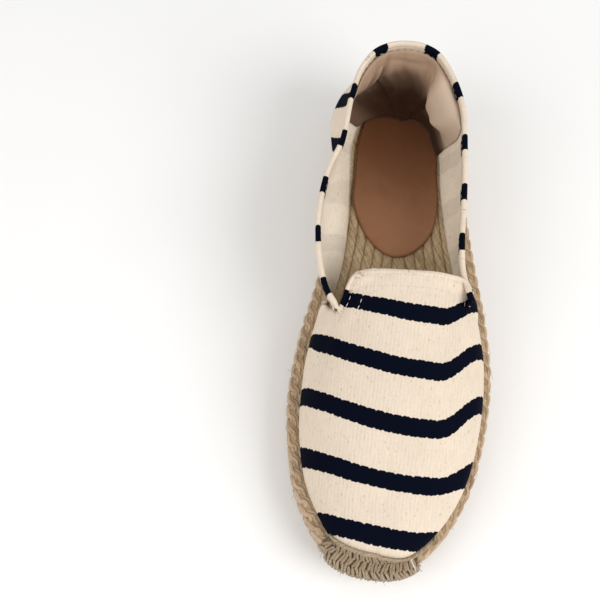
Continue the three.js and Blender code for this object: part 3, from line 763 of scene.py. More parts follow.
# The last two colours of the heel lining are painted: a shade deep in the heel cup and a light on its lateral
# front.
heel_suede = brushed_lining("beige heel lining", (0.5, 0.345, 0.24, 1), (0.38, 0.25, 0.165, 1),
                            (0.045, 0.018, 0.008, 1), (0.68, 0.54, 0.42, 1))
outsole_crepe = crepe_rubber("crepe rubber", (0.5, 0.36, 0.21, 1), (0.33, 0.22, 0.12, 1))
white_thread = thread_material("white thread", (0.8, 0.73, 0.62, 1), (0.5, 0.45, 0.38, 1))


# The vamp.
VAMP_STEPS_FORWARD = 90
VAMP_STEPS_TAB = 44
VAMP_RIB_STEPS = 64


def vamp_stations(u):
    """Spreads the stations of the vamp from the medial notch round the toe to the lateral notch."""
    total = VAMP_STEPS_FORWARD + VAMP_STEPS_TAB
    steps = np.abs(u * 2 - 1) * total
    forward = steps / VAMP_STEPS_FORWARD * TAB_AT
    tab = TAB_AT + (steps - VAMP_STEPS_FORWARD) / VAMP_STEPS_TAB * (NOTCH_AT - TAB_AT)
    return np.sign(u * 2 - 1) * np.where(steps <= VAMP_STEPS_FORWARD, forward, tab)


def vamp_place(u, v):
    return wall(vamp_stations(u), v, "vamp")


def segment_distance(points, start, end):
    """Distance of points from the straight line between two places, and the share of it that they are at."""
    start, end = np.array(start, float), np.array(end, float)
    span = end - start
    along = np.clip(((points - start) @ span) / (span @ span), 0, 1)
    return np.linalg.norm(points - start - along[:, None] * span, axis=1), along


# Soft creases and swells of the vamp: from (x, y) to (x, y), depth (- is a trough) and half width.
VAMP_CREASES = [
    ((-27, -24), (-36, -52), -0.9, 4.0),
    ((-20, -16), (-30, -44), 0.6, 5.0),
    ((-38, -40), (-41, -66), -0.5, 3.0),
    ((25, -18), (36, -42), -0.7, 4.0),
    ((30, -8), (40, -34), 0.5, 4.0),
    ((-16, -92), (-34, -76), -0.5, 5.0),
    ((6, -84), (24, -72), 0.5, 8.0),
    ((-12, -30), (14, -34), -0.4, 7.0),
    ((-8, -56), (20, -52), 0.4, 8.0),
]
TAB_HEM = 8.6
RIDGE_FRONT_SOFTENED = 12.0
TAB_STITCHES = (2.6, 7.9)


def tab_edge():
    """Points along the tab's free edge, from the medial notch to the lateral one."""
    shares = np.linspace(TAB_AT, NOTCH_AT, 130)
    medial = top_line(-shares[::-1], "vamp")[0]
    lateral = top_line(shares[1:], "vamp")[0]
    return np.vstack([medial, lateral])


def distance_to_line(points, line):
    far = np.full(len(points), 1e9)
    for start in range(0, len(points), 3000):
        part = points[start:start + 3000, None] - line[None]
        far[start:start + 3000] = np.sqrt((part**2).sum(-1)).min(1)
    return far


def inside_outline(points, outline):
    """Whether points lie inside a closed outline of (x, y) corners."""
    x, y = points[:, 0], points[:, 1]
    inside = np.zeros(len(points), bool)
    for (ax, ay), (bx, by) in zip(outline, np.roll(outline, -1, axis=0)):
        crosses = (ay > y) != (by > y)
        inside ^= crosses & (x < (bx - ax) * (y - ay) / (by - ay + 1e-12) + ax)
    return inside


# The cut between tab and quarters: stations where it starts and ends, the corners behind it, and its reach.
NOTCH_FROM = 0.472
NOTCH_TO = 0.55
NOTCH_CORNERS = [[-38, 12], [-8, 12]]
NOTCH_LOW = 36.0
NOTCH_FORWARD = -24.0
NOTCH_SNAP = 2.0


def open_medial_notch(bm):
    """Cuts the vamp's cloth away between the tab's medial edge and the quarters' collar."""
    tab = top_line(-np.linspace(NOTCH_FROM, NOTCH_AT, 80), "vamp")[0]
    collar = top_line(-np.linspace(NOTCH_AT, NOTCH_TO, 80), "quarters")[0]
    collar[:, 0] -= 1.6 * np.linspace(0, 1, 80) ** 0.5
    outline = np.vstack([tab[:, :2], collar[:, :2], NOTCH_CORNERS])
    centres = np.array([face.calc_center_median() for face in bm.faces])
    gone = inside_outline(centres, outline) & (centres[:, 2] > NOTCH_LOW)
    bm.faces.ensure_lookup_table()
    bmesh.ops.delete(bm, geom=[bm.faces[k] for k in np.flatnonzero(gone)], context="FACES")
    line = np.vstack([tab, collar])[:, :2]
    for vert in bm.verts:
        behind = vert.co.x < NOTCH_CORNERS[1][0] and vert.co.y > NOTCH_FORWARD and vert.co.z > NOTCH_LOW
        if vert.is_boundary and behind:
            far = np.hypot(*(line - np.array(vert.co)[:2]).T)
            k = int(far.argmin())
            if far[k] < NOTCH_SNAP:
                vert.co.x, vert.co.y = line[k]


def build_vamp():
    """Makes the vamp and returns the surface that its stitches lie on."""
    bm = grid(2 * (VAMP_STEPS_FORWARD + VAMP_STEPS_TAB), VAMP_RIB_STEPS, vamp_place,
              lambda u, v, points: vamp_cloth(points))
    bmesh.ops.remove_doubles(bm, verts=bm.verts, dist=0.02)
    bm.normal_update()
    points = np.array([vert.co for vert in bm.verts])
    from_edge = distance_to_line(points, tab_edge())
    swell = 0.4 * (1 - smooth(TAB_HEM - 0.8, TAB_HEM + 0.5, from_edge))
    swell -= 0.55 * (1 - smooth(0.0, 1.3, from_edge))
    for row in TAB_STITCHES:
        swell -= 0.28 * bell(from_edge - row, 0.55)
    for start, end, depth, width in VAMP_CREASES:
        far, along = segment_distance(points[:, :2] + [CLOTH_SHIFT, 0], start, end)
        swell += depth * bell(far, width) * (0.35 + 0.65 * np.sin(math.pi * along) ** 0.5)
    for vert, out in zip(bm.verts, swell):
        vert.co += vert.normal * (VAMP_LAP + out)
    pole = wall(np.zeros(1), np.ones(1), "vamp")[0]
    near = [vert for vert in bm.verts if (vert.co - Vector(pole)).length < RIDGE_FRONT_SOFTENED]
    for _ in range(60):
        bmesh.ops.smooth_vert(bm, verts=near, factor=0.5, use_axis_x=True, use_axis_y=True, use_axis_z=True)
    coordinates = vamp_cloth(np.array([vert.co for vert in near]))
    moved = {vert: place for vert, place in zip(near, coordinates)}
    layer = bm.loops.layers.uv["cloth"]
    for vert in near:
        for loop in vert.link_loops:
            loop[layer].uv = moved[vert]
    open_medial_notch(bm)
    surface = BVHTree.FromBMesh(bm)
    piece = finish_mesh("vamp", bm, striped_canvas)
    add_modifier(piece, "SOLIDIFY", thickness=1.5 * MM, offset=-1.0, use_even_offset=False)
    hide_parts("canvas_upper")
    return surface


vamp_surface = build_vamp()


def add_stitch(bm, start, end, radius, lift_off, normal):
    """One short thread lying between two points, bulging along the normal."""
    start, end, normal = Vector(start), Vector(end), Vector(normal)
    made = bmesh.ops.create_icosphere(bm, subdivisions=1, radius=1.0)["verts"]
    along = end - start
    side = along.cross(normal).normalized()
    turned = Matrix((along * 0.5, side * radius, normal.normalized() * radius)).transposed().to_4x4()
    middle = (start + end) / 2 + normal.normalized() * lift_off
    bmesh.ops.transform(bm, matrix=Matrix.Translation(middle) @ turned, verts=made)


def spaced(line, pitch, share):
    """Starts and ends of stitches along a line of points: share of each pitch is thread."""
    reach = line_reach(line)
    count = int(reach[-1] / pitch)
    for k in range(count):
        begin = (k + 0.5 - share / 2) * reach[-1] / count
        finish = (k + 0.5 + share / 2) * reach[-1] / count
        yield [np.array([np.interp(at, reach, line[:, c]) for c in range(3)]) for at in (begin, finish)]


def build_tab_stitches():
    bm = bmesh.new()
    line = tab_edge()
    along = unit(np.gradient(line[:, :2], axis=0))
    inwards = np.stack([along[:, 1], -along[:, 0]], -1)
    for row in TAB_STITCHES:
        laid = []
        for x, y in line[:, :2] + inwards * row:
            hit, normal, _, _ = vamp_surface.ray_cast(Vector((x, y, 120)), Vector((0, 0, -1)))
            if hit is not None:
                laid.append(list(hit) + list(normal))
        laid = np.array(laid)
        keep = np.concatenate([[True], np.linalg.norm(np.diff(laid[:, :3], axis=0), axis=1) < 3])
        laid = laid[keep]
        for start, end in spaced(laid[:, :3], 3.1, 0.72):
            nearest = np.linalg.norm(laid[:, :3] - (start + end) / 2, axis=1).argmin()
            add_stitch(bm, start, end, 0.2, 0.05, laid[nearest, 3:])
    piece = finish_mesh("tab_stitches", bm, white_thread)
    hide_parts("canvas_upper")


build_tab_stitches()


# The quarters: one strip of cloth from notch to notch round the heel, turned in over the collar.
QUARTER_START = 0.496
HEM_TURN = 8.0
HEM_RADIUS = 1.3
HEM_OUT = 0.6
COLLAR_STITCH = 3.2
MEDIAL_STRIPE_SHIFT = 2.2
END_TUCK = 2.6
COLLAR_START = 0.503
COLLAR_SHARES = np.linspace(QUARTER_START, 1, 400)


def collar_reach(s):
    """Distance along the collar from the middle of the heel to a station."""
    side = np.where(s >= 0, 1.0, -1.0)
    reach = np.zeros_like(s)
    for sign in (1.0, -1.0):
        at = top_line(sign * COLLAR_SHARES, "quarters")[0]
        steps = np.linalg.norm(np.diff(at, axis=0), axis=1)
        from_heel = np.concatenate([np.cumsum(steps[::-1])[::-1], [0]])
        reach = np.where(side == sign, sign * np.interp(np.abs(s), COLLAR_SHARES, from_heel), reach)
    return reach


def quarter_stations(u, p):
    """From the lateral notch round the heel to the medial one, and on under the vamp below the collar."""
    turned = u * 2 - 1
    start = QUARTER_START + (COLLAR_START - QUARTER_START) * smooth(0.3, 0.6, p)
    around = 1 - np.abs(turned) * (1 - start)
    return np.where(turned <= 0, around, -around)


def quarter_profile(s, p):
    """Points of the quarters: p runs up the outside, over the collar and down inside to the hem's end."""
    outside, over = 0.72, 0.84
    v = np.clip(p / outside, 0, 1)
    top = wall(s, 1.0, "quarters")
    normal = wall_normal(s, 1.0, "quarters")
    up = unit(wall(s, 1.0, "quarters") - wall(s, 0.97, "quarters"))
    length = np.maximum(rib_length(s), 1 / 0.2)
    raised = HEM_OUT * (1 - smooth(0.7 * HEM_TURN, 1.3 * HEM_TURN, (1 - v) * length))
    raised -= 0.3 * bell((1 - v) * length - COLLAR_STITCH, 0.6)
    outer = wall(s, v, "quarters") + wall_normal(s, v, "quarters") * raised[..., None]
    angle = np.clip((p - outside) / (over - outside), 0, 1) * math.pi
    radius = HEM_RADIUS * (0.45 + 0.55 * smooth(0.502, 0.516, np.abs(s)))
    rolled = top + normal * (HEM_OUT - radius * (1 - np.cos(angle)))[..., None]
    rolled += up * (radius * np.sin(angle))[..., None]
    down = np.clip((p - over) / (1 - over), 0, 1)
    v_inside = 1 - down * HEM_TURN / length
    depth = 2 * radius - HEM_OUT - 0.5 * down
    depth -= 0.3 * bell(down * HEM_TURN - COLLAR_STITCH, 0.6)
    inner = wall(s, v_inside, "quarters") - wall_normal(s, v_inside, "quarters") * depth[..., None]
    made = np.where((p <= outside)[..., None], outer, np.where((p <= over)[..., None], rolled, inner))
    tucked = END_TUCK * (1 - smooth(0.502, 0.51, np.abs(s)))
    return made - wall_normal(s, np.minimum(v, 0.97), "quarters") * tucked[..., None]


def quarter_cloth(u, p, points):
    """Cloth coordinates round the collar. Stripes of the slack medial heel lean back as they go down."""
    s = quarter_stations(u, p)
    reach = collar_reach(s)
    below = np.maximum(0, wall(s, 1.0, "quarters")[..., 2] - points[:, 2])
    lean = 0.22 * below * smooth(18, 34, -reach) * (1 - smooth(78, 98, -reach))
    medial = reach + MEDIAL_STRIPE_SHIFT + 2.8 * smooth(20, 38, -reach) - lean
    lateral = reach - 2.8 * smooth(40, 62, reach) - 3.0 * smooth(120, 140, reach)
    last_cream = 6 * STRIPE_PITCH
    return np.stack([points[:, 2], np.clip(np.where(s < 0, medial, lateral), -last_cream, last_cream)], -1)


def build_quarters():
    bm = grid(320, 72, lambda u, p: quarter_profile(quarter_stations(u, p), p), quarter_cloth)
    piece = finish_mesh("quarters", bm, striped_canvas)
    add_modifier(piece, "SOLIDIFY", thickness=0.5 * MM, offset=-1.0)
    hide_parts("canvas_upper")


build_quarters()


def build_collar_stitches():
    bm = bmesh.new()
    shares = np.linspace(NOTCH_AT + 0.02, 1, 300)
    stations = np.concatenate([-shares, shares[::-1][1:]])
    v = 1 - COLLAR_STITCH / rib_length(stations)
    normal = wall_normal(stations, v, "quarters")
    for side, out in ((1, HEM_OUT - 0.25), (-1, -(2 * HEM_RADIUS - HEM_OUT - 0.4))):
        line = wall(stations, v, "quarters") + normal * out
        for start, end in spaced(line, 3.3, 0.7):
            nearest = np.linalg.norm(line - (start + end) / 2, axis=1).argmin()
            add_stitch(bm, start, end, 0.2, 0.05, normal[nearest] * side)
    piece = finish_mesh("collar_stitches", bm, white_thread)
    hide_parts("canvas_upper")


build_collar_stitches()


# The cream lining ends under the hem: its top as a share of the wall, and the same place on quarter_profile.
LINING_TOP = 0.93
LINING_TOP_P = 0.67


def build_lining():
    """The cream lining inside the quarters, from the insole up under the hem."""
    def place(u, v):
        s = quarter_stations(u, v * LINING_TOP_P)
        at = v * LINING_TOP
        return wall(s, at, "quarters") - wall_normal(s, at, "quarters") * WALL

    bm = grid(260, 30, place, lambda u, v, points: quarter_cloth(u, v * LINING_TOP_P, points))
    bmesh.ops.reverse_faces(bm, faces=bm.faces)
    piece = finish_mesh("quarter_lining", bm, quarter_lining)
    add_modifier(piece, "SOLIDIFY", thickness=0.6 * MM, offset=-1.0)
    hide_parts("canvas_upper")


build_lining()


# The padded lining round the inside of the heel.
LATERAL_LINING_FRONT = 0.8
MEDIAL_LINING_FRONT = 0.85
LINING_INSIDE = 0.47
LINING_BACK = 0.95
LINING_REACH_IN = 1.8
HEEL_LINING_LENGTH = 130.0
LINING_FOLDS = [
    (0.1, 0.035, 1.2), (0.3, 0.022, -1.6), (0.38, 0.035, 1.4), (0.47, 0.028, -1.3), (0.57, 0.035, 1.5),
    (0.65, 0.018, -2.2), (0.72, 0.03, 2.0), (0.8, 0.018, -1.8), (0.89, 0.03, 1.2),
]


def heel_lining_place(u, p):
    """u runs round the heel from lateral to medial, p up the inside, down the back and in under the foot."""
    turned = u * 2 - 1
    front = np.where(turned <= 0, LATERAL_LINING_FRONT, MEDIAL_LINING_FRONT)
    around = 1 - np.abs(turned) * (1 - front)
    s = np.where(turned <= 0, around, -around)
    inside = p <= LINING_INSIDE
    w = np.where(inside, p / LINING_INSIDE, (LINING_BACK - p) / (LINING_BACK - LINING_INSIDE))
    w = np.clip(w, 0, 1)
    v = 0.01 + 0.955 * w
    ends = np.sqrt(np.clip(1 - np.abs(turned) ** 9, 0, 1))
    tops = np.sqrt(np.clip(1 - w**6, 0, 1))
    lateral_puff = bell(turned + 0.68, 0.27, 4) * smooth(0.12, 0.6, w)
    medial_puff = bell(turned - 0.62, 0.25) * smooth(0.1, 0.7, w)
    back_roll = bell(turned, 0.4) * bell(w - 0.78, 0.2)
    puff = 1.4 + 9.0 * lateral_puff + 2.6 * medial_puff + 1.9 * back_roll
    for middle, width, height in LINING_FOLDS:
        lean = middle + 0.05 * np.sin(w * 4 + middle * 9)
        puff = puff + height * bell(u - lean, width) * np.sin(math.pi * w) ** 0.7
    puff = puff - 0.9 * bell(w - 0.16, 0.035)
    puff = puff - 0.9 * bell(w - 0.88 - 0.02 * np.sin(u * 23), 0.025) * smooth(0.7, 0.4, np.abs(turned))
    inner = WALL + 0.5 + puff * ends * tops
    under = np.clip((p - LINING_BACK) / (1 - LINING_BACK), 0, 1)
    outer = WALL + 0.4
    out = np.where(inside, inner, outer + (inner - outer) * under)
    reach_in = LINING_REACH_IN + 9.0 * bell(turned - 0.12, 0.6, 4)
    foot = reach_in * bell(w, 0.11) * ends * np.where(inside, 1.0, under)
    made = wall(s, v, "quarters") - wall_normal(s, v, "quarters") * out[..., None]
    made = made - outwards(reach_of(s)) * foot[..., None]
    made[..., 2] = np.maximum(made[..., 2], SOLE_TOP + 0.15)
    return made


def build_heel_lining():
    bm = grid(200, 90, heel_lining_place,
              lambda u, v, points: np.stack([u * HEEL_LINING_LENGTH, points[:, 2] - SOLE_TOP], -1))
    piece = finish_mesh("heel_lining", closed(bm, 0.12), heel_suede)
    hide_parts("canvas_upper")


build_heel_lining()


# The braid round the sole: three strands, plaited on edge.
STRAND_PERIODS = 29
STRAND_STEPS = 22
STRAND_ROUND = 24
STRAND_YARNS = 4
STRAND_WIDE = 3.1
STRAND_THICK = 1.95
STRAND_FLATNESS = 2.1
CROSS_OUT = 1.4
CROSS_FLATNESS = 2.2


def strand_centre(reach, k):
    """Middle of strand k of the plait, which lies half its own width in from the sole's edge."""
    phase = 2 * math.pi * (reach / EDGE_LENGTH * STRAND_PERIODS + k / 3)
    rise = np.tanh(STRAND_FLATNESS * np.sin(phase)) / math.tanh(STRAND_FLATNESS)
    height = JUTE_BOTTOM + JUTE / 2 + (JUTE / 2 - STRAND_WIDE * 0.88) * rise
    cross = np.tanh(CROSS_FLATNESS * np.sin(2 * phase)) / math.tanh(CROSS_FLATNESS)
    return beside_reach(reach, CROSS_OUT * cross - BRAID / 2, height)


def tube_frame(centre_of, reach, step=0.4):
    """Middle line, side direction and third direction of a tube along a centre line."""
    at = centre_of(reach)
    along = unit(centre_of(reach + step) - centre_of(reach - step))
    wide = unit(np.cross(along, outwards(reach)))
    thick = np.cross(wide, along)
    return at, wide, thick


def build_braid():
    bm = bmesh.new()
    for k in range(3):
        def centre_of(reach, k=k):
            return strand_centre(reach, k)

        def place(u, v, centre_of=centre_of):
            at, wide, thick = tube_frame(centre_of, u * EDGE_LENGTH)
            angle = v * 2 * math.pi
            swell = 0.92 + 0.08 * np.abs(np.sin(STRAND_YARNS / 2 * angle))
            width = STRAND_WIDE * swell * np.sign(np.cos(angle)) * np.abs(np.cos(angle)) ** 0.75
            depth = STRAND_THICK * swell * np.sign(np.sin(angle)) * np.abs(np.sin(angle)) ** 0.65
            return at + wide * width[:, None] + thick * depth[:, None]

        def cloth(u, v, points, k=k):
            return np.stack([v * STRAND_YARNS * YARN_PITCH, u * EDGE_LENGTH * 1.2 + k * 50], -1)

        join(bm, closed(grid(STRAND_PERIODS * STRAND_STEPS, STRAND_ROUND, place, cloth)))
    piece = finish_mesh("outer_braid", bm, braid_jute)
    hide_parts("jute_sole")


build_braid()


# The insole and core of the jute sole.
def edge_crossings(y):
    """Medial and lateral x of the sole's edge at y, in the shoe's own frame."""
    lateral = EDGE[: (len(LATERAL_EDGE) + 1) * EDGE_SAMPLES + 1]
    medial = EDGE[(len(LATERAL_EDGE) + 1) * EDGE_SAMPLES:][::-1]
    return np.interp(y, medial[:, 1], medial[:, 0]), np.interp(y, lateral[:, 1], lateral[:, 0])


def nearest_edge(points):
    """Distance in from the sole's edge and distance round it, of each point."""
    inwards = np.empty(len(points))
    reach = np.empty(len(points))
    coarse = EDGE[:-1:2]
    coarse_reach = EDGE_REACH[:-1:2]
    for start in range(0, len(points), 4000):
        part = points[start:start + 4000, None, :2] - coarse[None]
        far = np.hypot(part[..., 0], part[..., 1])
        nearest = far.argmin(1)
        inwards[start:start + 4000] = far[np.arange(len(nearest)), nearest]
        reach[start:start + 4000] = coarse_reach[nearest]
    return inwards, reach


INSOLE_INSET = 2.0
INSOLE_SLANT = 0.9


def insole_pattern(inwards, reach):
    """Place across one row of the plait (-0.5 to 0.5) and height of its slanted strands (0 to 1)."""
    row = inwards / INSOLE_ROW
    beside = row - np.floor(row) - 0.5
    turned = np.where(np.floor(row) % 2 > 0, 1, -1)
    return beside, np.abs(np.sin(math.pi * (reach / INSOLE_LOBE + beside * turned * INSOLE_SLANT)))


def build_insole():
    def flat(u, v):
        inset = INSOLE_INSET
        closer_at_ends = 0.5 - 0.5 * np.cos(v * math.pi) * 0.35 + (v - 0.5) * 0.65
        y = y_of(1) + inset + (SOLE_LENGTH - 2 * inset) * closer_at_ends
        medial, lateral = edge_crossings(y)
        middle, half = (medial + lateral) / 2, np.maximum((lateral - medial) / 2 - inset, 0.4)
        return np.stack([middle + half * (u * 2 - 1), y, np.zeros_like(y)], -1)

    def place(u, v):
        points = flat(u, v)
        inwards, reach = nearest_edge(points)
        beside, lobe = insole_pattern(inwards, reach)
        relief = (1 - (2 * np.abs(beside)) ** 2.5) * (0.7 + 0.45 * lobe)
        relief = np.where(inwards < BRAID, 0.85, relief)
        points[:, 2] = SOLE_TOP - 1.2 + relief + lift(points[:, 1])
        return points

    def cloth(u, v, points):
        return np.stack(nearest_edge(points), -1)

    bm = add_bottom(grid(120, 380, place, cloth), lambda at: JUTE_BOTTOM + 0.2 + float(lift(at.y)), 0.001)
    piece = finish_mesh("jute_insole", bm, insole_material)
    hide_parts("jute_sole")


build_insole()


# The stitching round the toe.
STITCHES = 18
STITCH_ROUND = 8
STITCH_STEPS = 10
# The section of the toe stitching after its lap on the canvas: out from the edge, and up as a share of JUTE.
TOE_STOPS = [(-4.2, 1.09), (0.6, 0.99), (1.6, 0.58), (1.3, 0.15)]
# Rows of stitches. Columns: start and end (q of toe_section), offset and slant (shares of the pitch).
STITCH_ROWS = [
    (0.05, 0.29, 0.0, 0.45), (0.24, 0.47, 0.5, -0.5), (0.43, 0.7, 0.0, 0.5), (0.66, 0.96, 0.5, -0.5),
]
TOE_LAP = 0.12
TOE_LAP_MIDDLE = 0.085
TOE_STITCHES_END = 17.0
LOOSE_THREAD_AT = 16.5


def toe_section(reach, q, out=0.0):
    """Outside of the toe stitching: q is 0 on the canvas above the rim and 1 low on the jute's side."""
    s = np.where(reach >= 0, reach / LATERAL_LENGTH, reach / MEDIAL_LENGTH)
    round_reach = np.mod(reach, EDGE_LENGTH)
    up_wall = TOE_LAP + TOE_LAP_MIDDLE * np.clip(1 - ((reach + 5) / 24) ** 2, 0, 1)
    lap = wall(s, up_wall, "vamp") + wall_normal(s, up_wall, "vamp") * (VAMP_LAP + 0.8 + out)
    settle = 1.5 * smooth(19, 27, -reach) + 2.6 * smooth(TOE_STITCHES_END, TOE_STITCHES_END + 4, reach)
    stops = [lap]
    for beside, up in TOE_STOPS:
        stops.append(beside_reach(round_reach, beside + out - settle, JUTE_BOTTOM + JUTE * up + out * 0.5))
    stops = np.stack(stops, -2)
    spans = len(TOE_STOPS)
    x = q * spans
    k = np.clip(np.floor(x).astype(int), 0, spans - 1)
    t = (x - k)[..., None]
    rows = np.arange(len(q))

    def stop(j):
        return stops[rows, np.clip(j, 0, spans)]

    a, b, c, d = stop(k - 1), stop(k), stop(k + 1), stop(k + 2)
    return 0.5 * (2 * b + (c - a) * t + (2 * a - 5 * b + 4 * c - d) * t**2 + (3 * b - a - 3 * c + d) * t**3)


def add_yarn(bm, centre, across, wide, deep, steps, uv_shift, sink):
    """A yarn along a centre line of u, flattened against the sole, with rounded ends."""
    def place(u, v):
        at = centre(u)
        along = unit(centre(np.clip(u + 0.02, 0, 1)) - centre(np.clip(u - 0.02, 0, 1)))
        thick = unit(np.cross(across, along))
        ends = np.sqrt(np.maximum(0.02, 1 - np.abs(2 * u - 1) ** 4))
        angle = v * 2 * math.pi
        ply = 1 + 0.08 * np.cos(2 * angle + u * 9)
        level = deep * ends * ply * np.sin(angle) - sink + 0.5 * np.sin(math.pi * u)
        return at + across * (wide * ends * ply * np.cos(angle))[:, None] + thick * level[:, None]

    part = grid(steps, STITCH_ROUND, place, lambda u, v, points: np.stack([v * 8 + uv_shift, u * 12], -1))
    join(bm, closed(part))


def build_toe_stitches():
    """Rows of short stitches that slant this way and that. Each stitch is two yarns side by side."""
    bm = bmesh.new()
    chance = np.random.default_rng(7)
    pitch = 2 * TOE_BAND_REACH / STITCHES
    for q_start, q_end, offset, slant in STITCH_ROWS:
        for k in range(STITCHES):
            middle = -TOE_BAND_REACH + pitch * (k + 0.5 + offset * 0.9)
            fade = float(smooth(8, 20, np.array(middle)))
            if middle > TOE_STITCHES_END + 1.5 or (q_start > 0.4 and middle < -25):
                continue
            across = edgewise(middle)
            flat = 1 - 0.4 * fade
            for beside in (-0.62, 0.6):
                lean, spread, early, late = chance.uniform(-1, 1, 4)

                def centre(t, middle=middle + beside + 0.25 * spread, beside=beside,
                           run=(slant + 0.3 * lean) * pitch, low=q_start + 0.02 * early,
                           high=q_end + 0.02 * late):
                    open_out = 0.25 * beside * (2 * t - 1) ** 2
                    return toe_section(middle + open_out + run * (t - 0.5), low + (high - low) * t)

                add_yarn(bm, centre, across, 0.72, 0.95 * flat, STITCH_STEPS, k * 13 + beside * 5,
                         0.35 - 0.2 * spread)
    piece = finish_mesh("toe_stitches", bm, stitch_jute)
    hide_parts("toe_band")


def build_toe_thread():
    """One loose white thread that lies over the stitches."""
    def thread(t):
        return toe_section(LOOSE_THREAD_AT - 1.4 * t + 0.5 * t * t, 0.02 + 0.5 * t, 1.25)

    bm = bmesh.new()
    add_yarn(bm, thread, edgewise(LOOSE_THREAD_AT), 0.42, 0.4, 14, 0, sink=0.0)
    piece = finish_mesh("toe_thread", bm, white_thread)
    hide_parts("toe_band")


def build_toe_edge():
    """The flat cord along the top of the toe stitching, and the ground under the stitches: jute darkened by
    painted shade.
    """
    def centre_of(u):
        return toe_section((u * 2 - 1) * (TOE_BAND_REACH + 0.5), np.full(len(u), 0.03))

    def cord(u, v):
        at = centre_of(u)
        along = unit(centre_of(np.clip(u + 0.01, 0, 1)) - centre_of(np.clip(u - 0.01, 0, 1)))
        down = toe_section((u * 2 - 1) * TOE_BAND_REACH, np.full(len(u), 0.1)) - at
        wide = unit(down - along * (down * along).sum(-1, keepdims=True))
        thick = np.cross(along, wide)
        angle = v * 2 * math.pi
        ends = np.sqrt(np.maximum(0.02, 1 - np.abs(2 * u - 1) ** 20))
        beside, above = 1.3 * ends * np.cos(angle), 0.6 * ends * np.sin(angle)
        return at + wide * beside[:, None] + thick * above[:, None]

    bm = closed(grid(120, 12, cord, lambda u, v, points: np.stack([v * 7, u * 60], -1)))
    piece = finish_mesh("toe_cord", bm, stitch_jute)
    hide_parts("toe_band")

    def ground(u, v):
        reach = (u * 2 - 1) * TOE_BAND_REACH
        return toe_section(reach, v * (1 - 0.55 * smooth(8, 20, reach)), -0.75)

    bm = grid(90, 24, ground, lambda u, v, points: np.stack([u * 58, v * 20], -1))
    bmesh.ops.reverse_faces(bm, faces=bm.faces)
    piece = finish_mesh("toe_ground", bm, shaded_jute)
    add_modifier(piece, "SOLIDIFY", thickness=0.6 * MM, offset=0.0)
    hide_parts("toe_band")


build_toe_stitches()
build_toe_thread()
build_toe_edge()


# Frayed threads at the medial corner of the vamp, and loose fibres on the rim and round the toe.
def build_frayed_corner():
    bm = bmesh.new()
    chance = np.random.default_rng(3)
    corner = top_line(np.array([-NOTCH_AT]), "vamp")[0][0]
    for _ in range(16):
        start = corner + chance.uniform(-1, 1, 3) * [1.5, 3.2, 0.8] + [-0.8, -1.6, 0.6]
        lean = chance.uniform(-1, 1, 3) * [1.4, 2.2, 0.7] + [-0.6, 1.2, 0.5]
        add_stitch(bm, start, start + lean, 0.16, 0.0, (0.2, 0.1, 1.0))
    piece = finish_mesh("frayed_corner", bm, white_thread)
    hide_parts("canvas_upper")


def build_fibres():
    bm = bmesh.new()
    chance = np.random.default_rng(11)
    for _ in range(150):
        reach = chance.uniform(-TOE_BAND_REACH, TOE_BAND_REACH * 0.7)
        start = toe_section(np.array([reach]), np.array([chance.uniform(0.05, 0.9)]), 0.35)[0]
        add_stitch(bm, start, start + chance.normal(0, 1, 3) * [1.6, 1.1, 0.8], 0.09, 0.0, (0, -0.3, 1))
    for _ in range(260):
        reach = chance.uniform(0, EDGE_LENGTH)
        out = chance.uniform(-5.8, -0.4)
        start, end = beside_reach(np.array([reach, reach + chance.normal(0, 2.6)]),
                                  np.array([out, out + chance.normal(0.3, 1.0)]), SOLE_TOP + 0.45)
        add_stitch(bm, start, end + [0, 0, chance.uniform(0, 0.8)], 0.09, 0.0, (0, 0, 1))
    piece = finish_mesh("jute_fibres", bm, stitch_jute)
    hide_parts("jute_sole")


build_frayed_corner()
build_fibres()


# The pad under the heel.
def build_pad():
    back = y_of(PAD_BACK)
    corners = [(across * PAD_WIDTH / 2, back - along * PAD_LENGTH) for across, along in PAD_OUTLINE]
    outline, reach = closed_curve(corners, 40)
    middle = np.array([0.0, back - PAD_LENGTH / 2])

    def place(u, v):
        """u runs round the rim, and v out from the middle, with closer rows near the rounded rim."""
        share = 1 - (1 - v) ** 3
        rim = np.stack([np.interp(u * reach[-1], reach, outline[:, k]) for k in (0, 1)], -1)
        medial, lateral = edge_crossings(rim[:, 1])
        rim[:, 0] = np.clip(rim[:, 0], medial + BRAID + WALL + 2.0, lateral - (BRAID * 1.6 + WALL + 0.5))
        from_rim = (1 - share) * np.linalg.norm(rim - middle, axis=1)
        xy = middle + (rim - middle) * share[:, None]
        edge = np.clip(from_rim / PAD_ROUNDING, 0, 1)
        top = SOLE_TOP + GAP + PAD_THICKNESS * np.sqrt(np.maximum(0, 1 - (1 - edge) ** 2))
        return np.stack([xy[:, 0], xy[:, 1], top], -1)

    bm = add_bottom(closed(grid(160, 30, place), 0.01), lambda at: at.z - 0.2, 0.001)
    piece = finish_mesh("insole_pad", bm, pad_leather)
    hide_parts("heel_pad")


build_pad()

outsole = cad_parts["rubber_outsole"]
outsole.data.materials.clear()
outsole.data.materials.append(outsole_crepe)


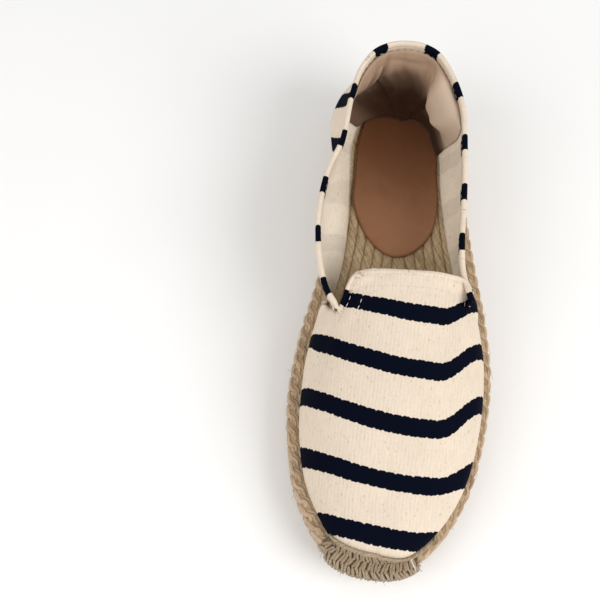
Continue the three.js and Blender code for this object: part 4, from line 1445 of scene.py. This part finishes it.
# Floor, lights and camera.
def build_stage():
    bm = bmesh.new()
    bmesh.ops.create_grid(bm, x_segments=8, y_segments=8, size=3.0)
    mesh = bpy.data.meshes.new("floor")
    bm.to_mesh(mesh)
    bm.free()
    floor = bpy.data.objects.new("floor", mesh)
    bpy.context.scene.collection.objects.link(floor)
    made, tree, shader = new_material("white floor", Specular_IOR_Level=0.2, Roughness=0.7)
    tone = noise(object_millimetres(tree), 0.02)
    feed(shader.inputs["Base Color"], mix(tone, (0.93, 0.93, 0.925, 1), (0.96, 0.96, 0.955, 1)))
    mesh.materials.append(made)


def add_light(name, place, size, energy):
    """A soft round light that points at the middle of the shoe."""
    data = bpy.data.lights.new(name, "AREA")
    data.shape = "DISK"
    data.size = size
    data.energy = energy
    light = bpy.data.objects.new(name, data)
    light.location = place
    light.rotation_euler = (Vector((0, 0, 0.03)) - Vector(place)).to_track_quat("-Z", "Y").to_euler()
    bpy.context.scene.collection.objects.link(light)


CAMERA_PLACE = (-29.65, -172.86, 418.7)
CAMERA_TURN = (-5.0, 66.65, -0.9)
SENSOR_WIDTH = 36.0
FOCAL_WIDTHS = 1.5


def build_camera():
    """The photo's viewpoint: millimetres in the frame, degrees of yaw, pitch and roll, and picture widths."""
    place = Vector(CAMERA_PLACE) * MM
    yaw, pitch, roll = (math.radians(a) for a in CAMERA_TURN)
    forward = Vector((math.sin(yaw) * math.cos(pitch), math.cos(yaw) * math.cos(pitch), -math.sin(pitch)))
    level = Vector((math.cos(yaw), -math.sin(yaw), 0))
    upward = level.cross(forward)
    right = level * math.cos(roll) + upward * math.sin(roll)
    up = upward * math.cos(roll) - level * math.sin(roll)
    data = bpy.data.cameras.new("camera")
    data.sensor_width = SENSOR_WIDTH
    data.lens = SENSOR_WIDTH * FOCAL_WIDTHS
    data.clip_start = 0.01
    camera = bpy.data.objects.new("camera", data)
    turned = Matrix((right, up, -forward)).transposed().to_4x4()
    camera.matrix_world = Matrix.Translation(place) @ turned
    bpy.context.scene.collection.objects.link(camera)
    bpy.context.scene.camera = camera


build_stage()
add_light("key", (0.75, -0.4, 0.75), 0.8, 7.6)
add_light("fill", (-0.75, -0.4, 0.75), 1.0, 4.6)
build_camera()
world = bpy.data.worlds.new("studio")
world.use_nodes = True
background = world.node_tree.nodes["Background"]
background.inputs["Color"].default_value = (1, 0.99, 0.975, 1)
background.inputs["Strength"].default_value = 0.56
bpy.context.scene.world = world
bpy.context.scene.view_settings.view_transform = "Standard"
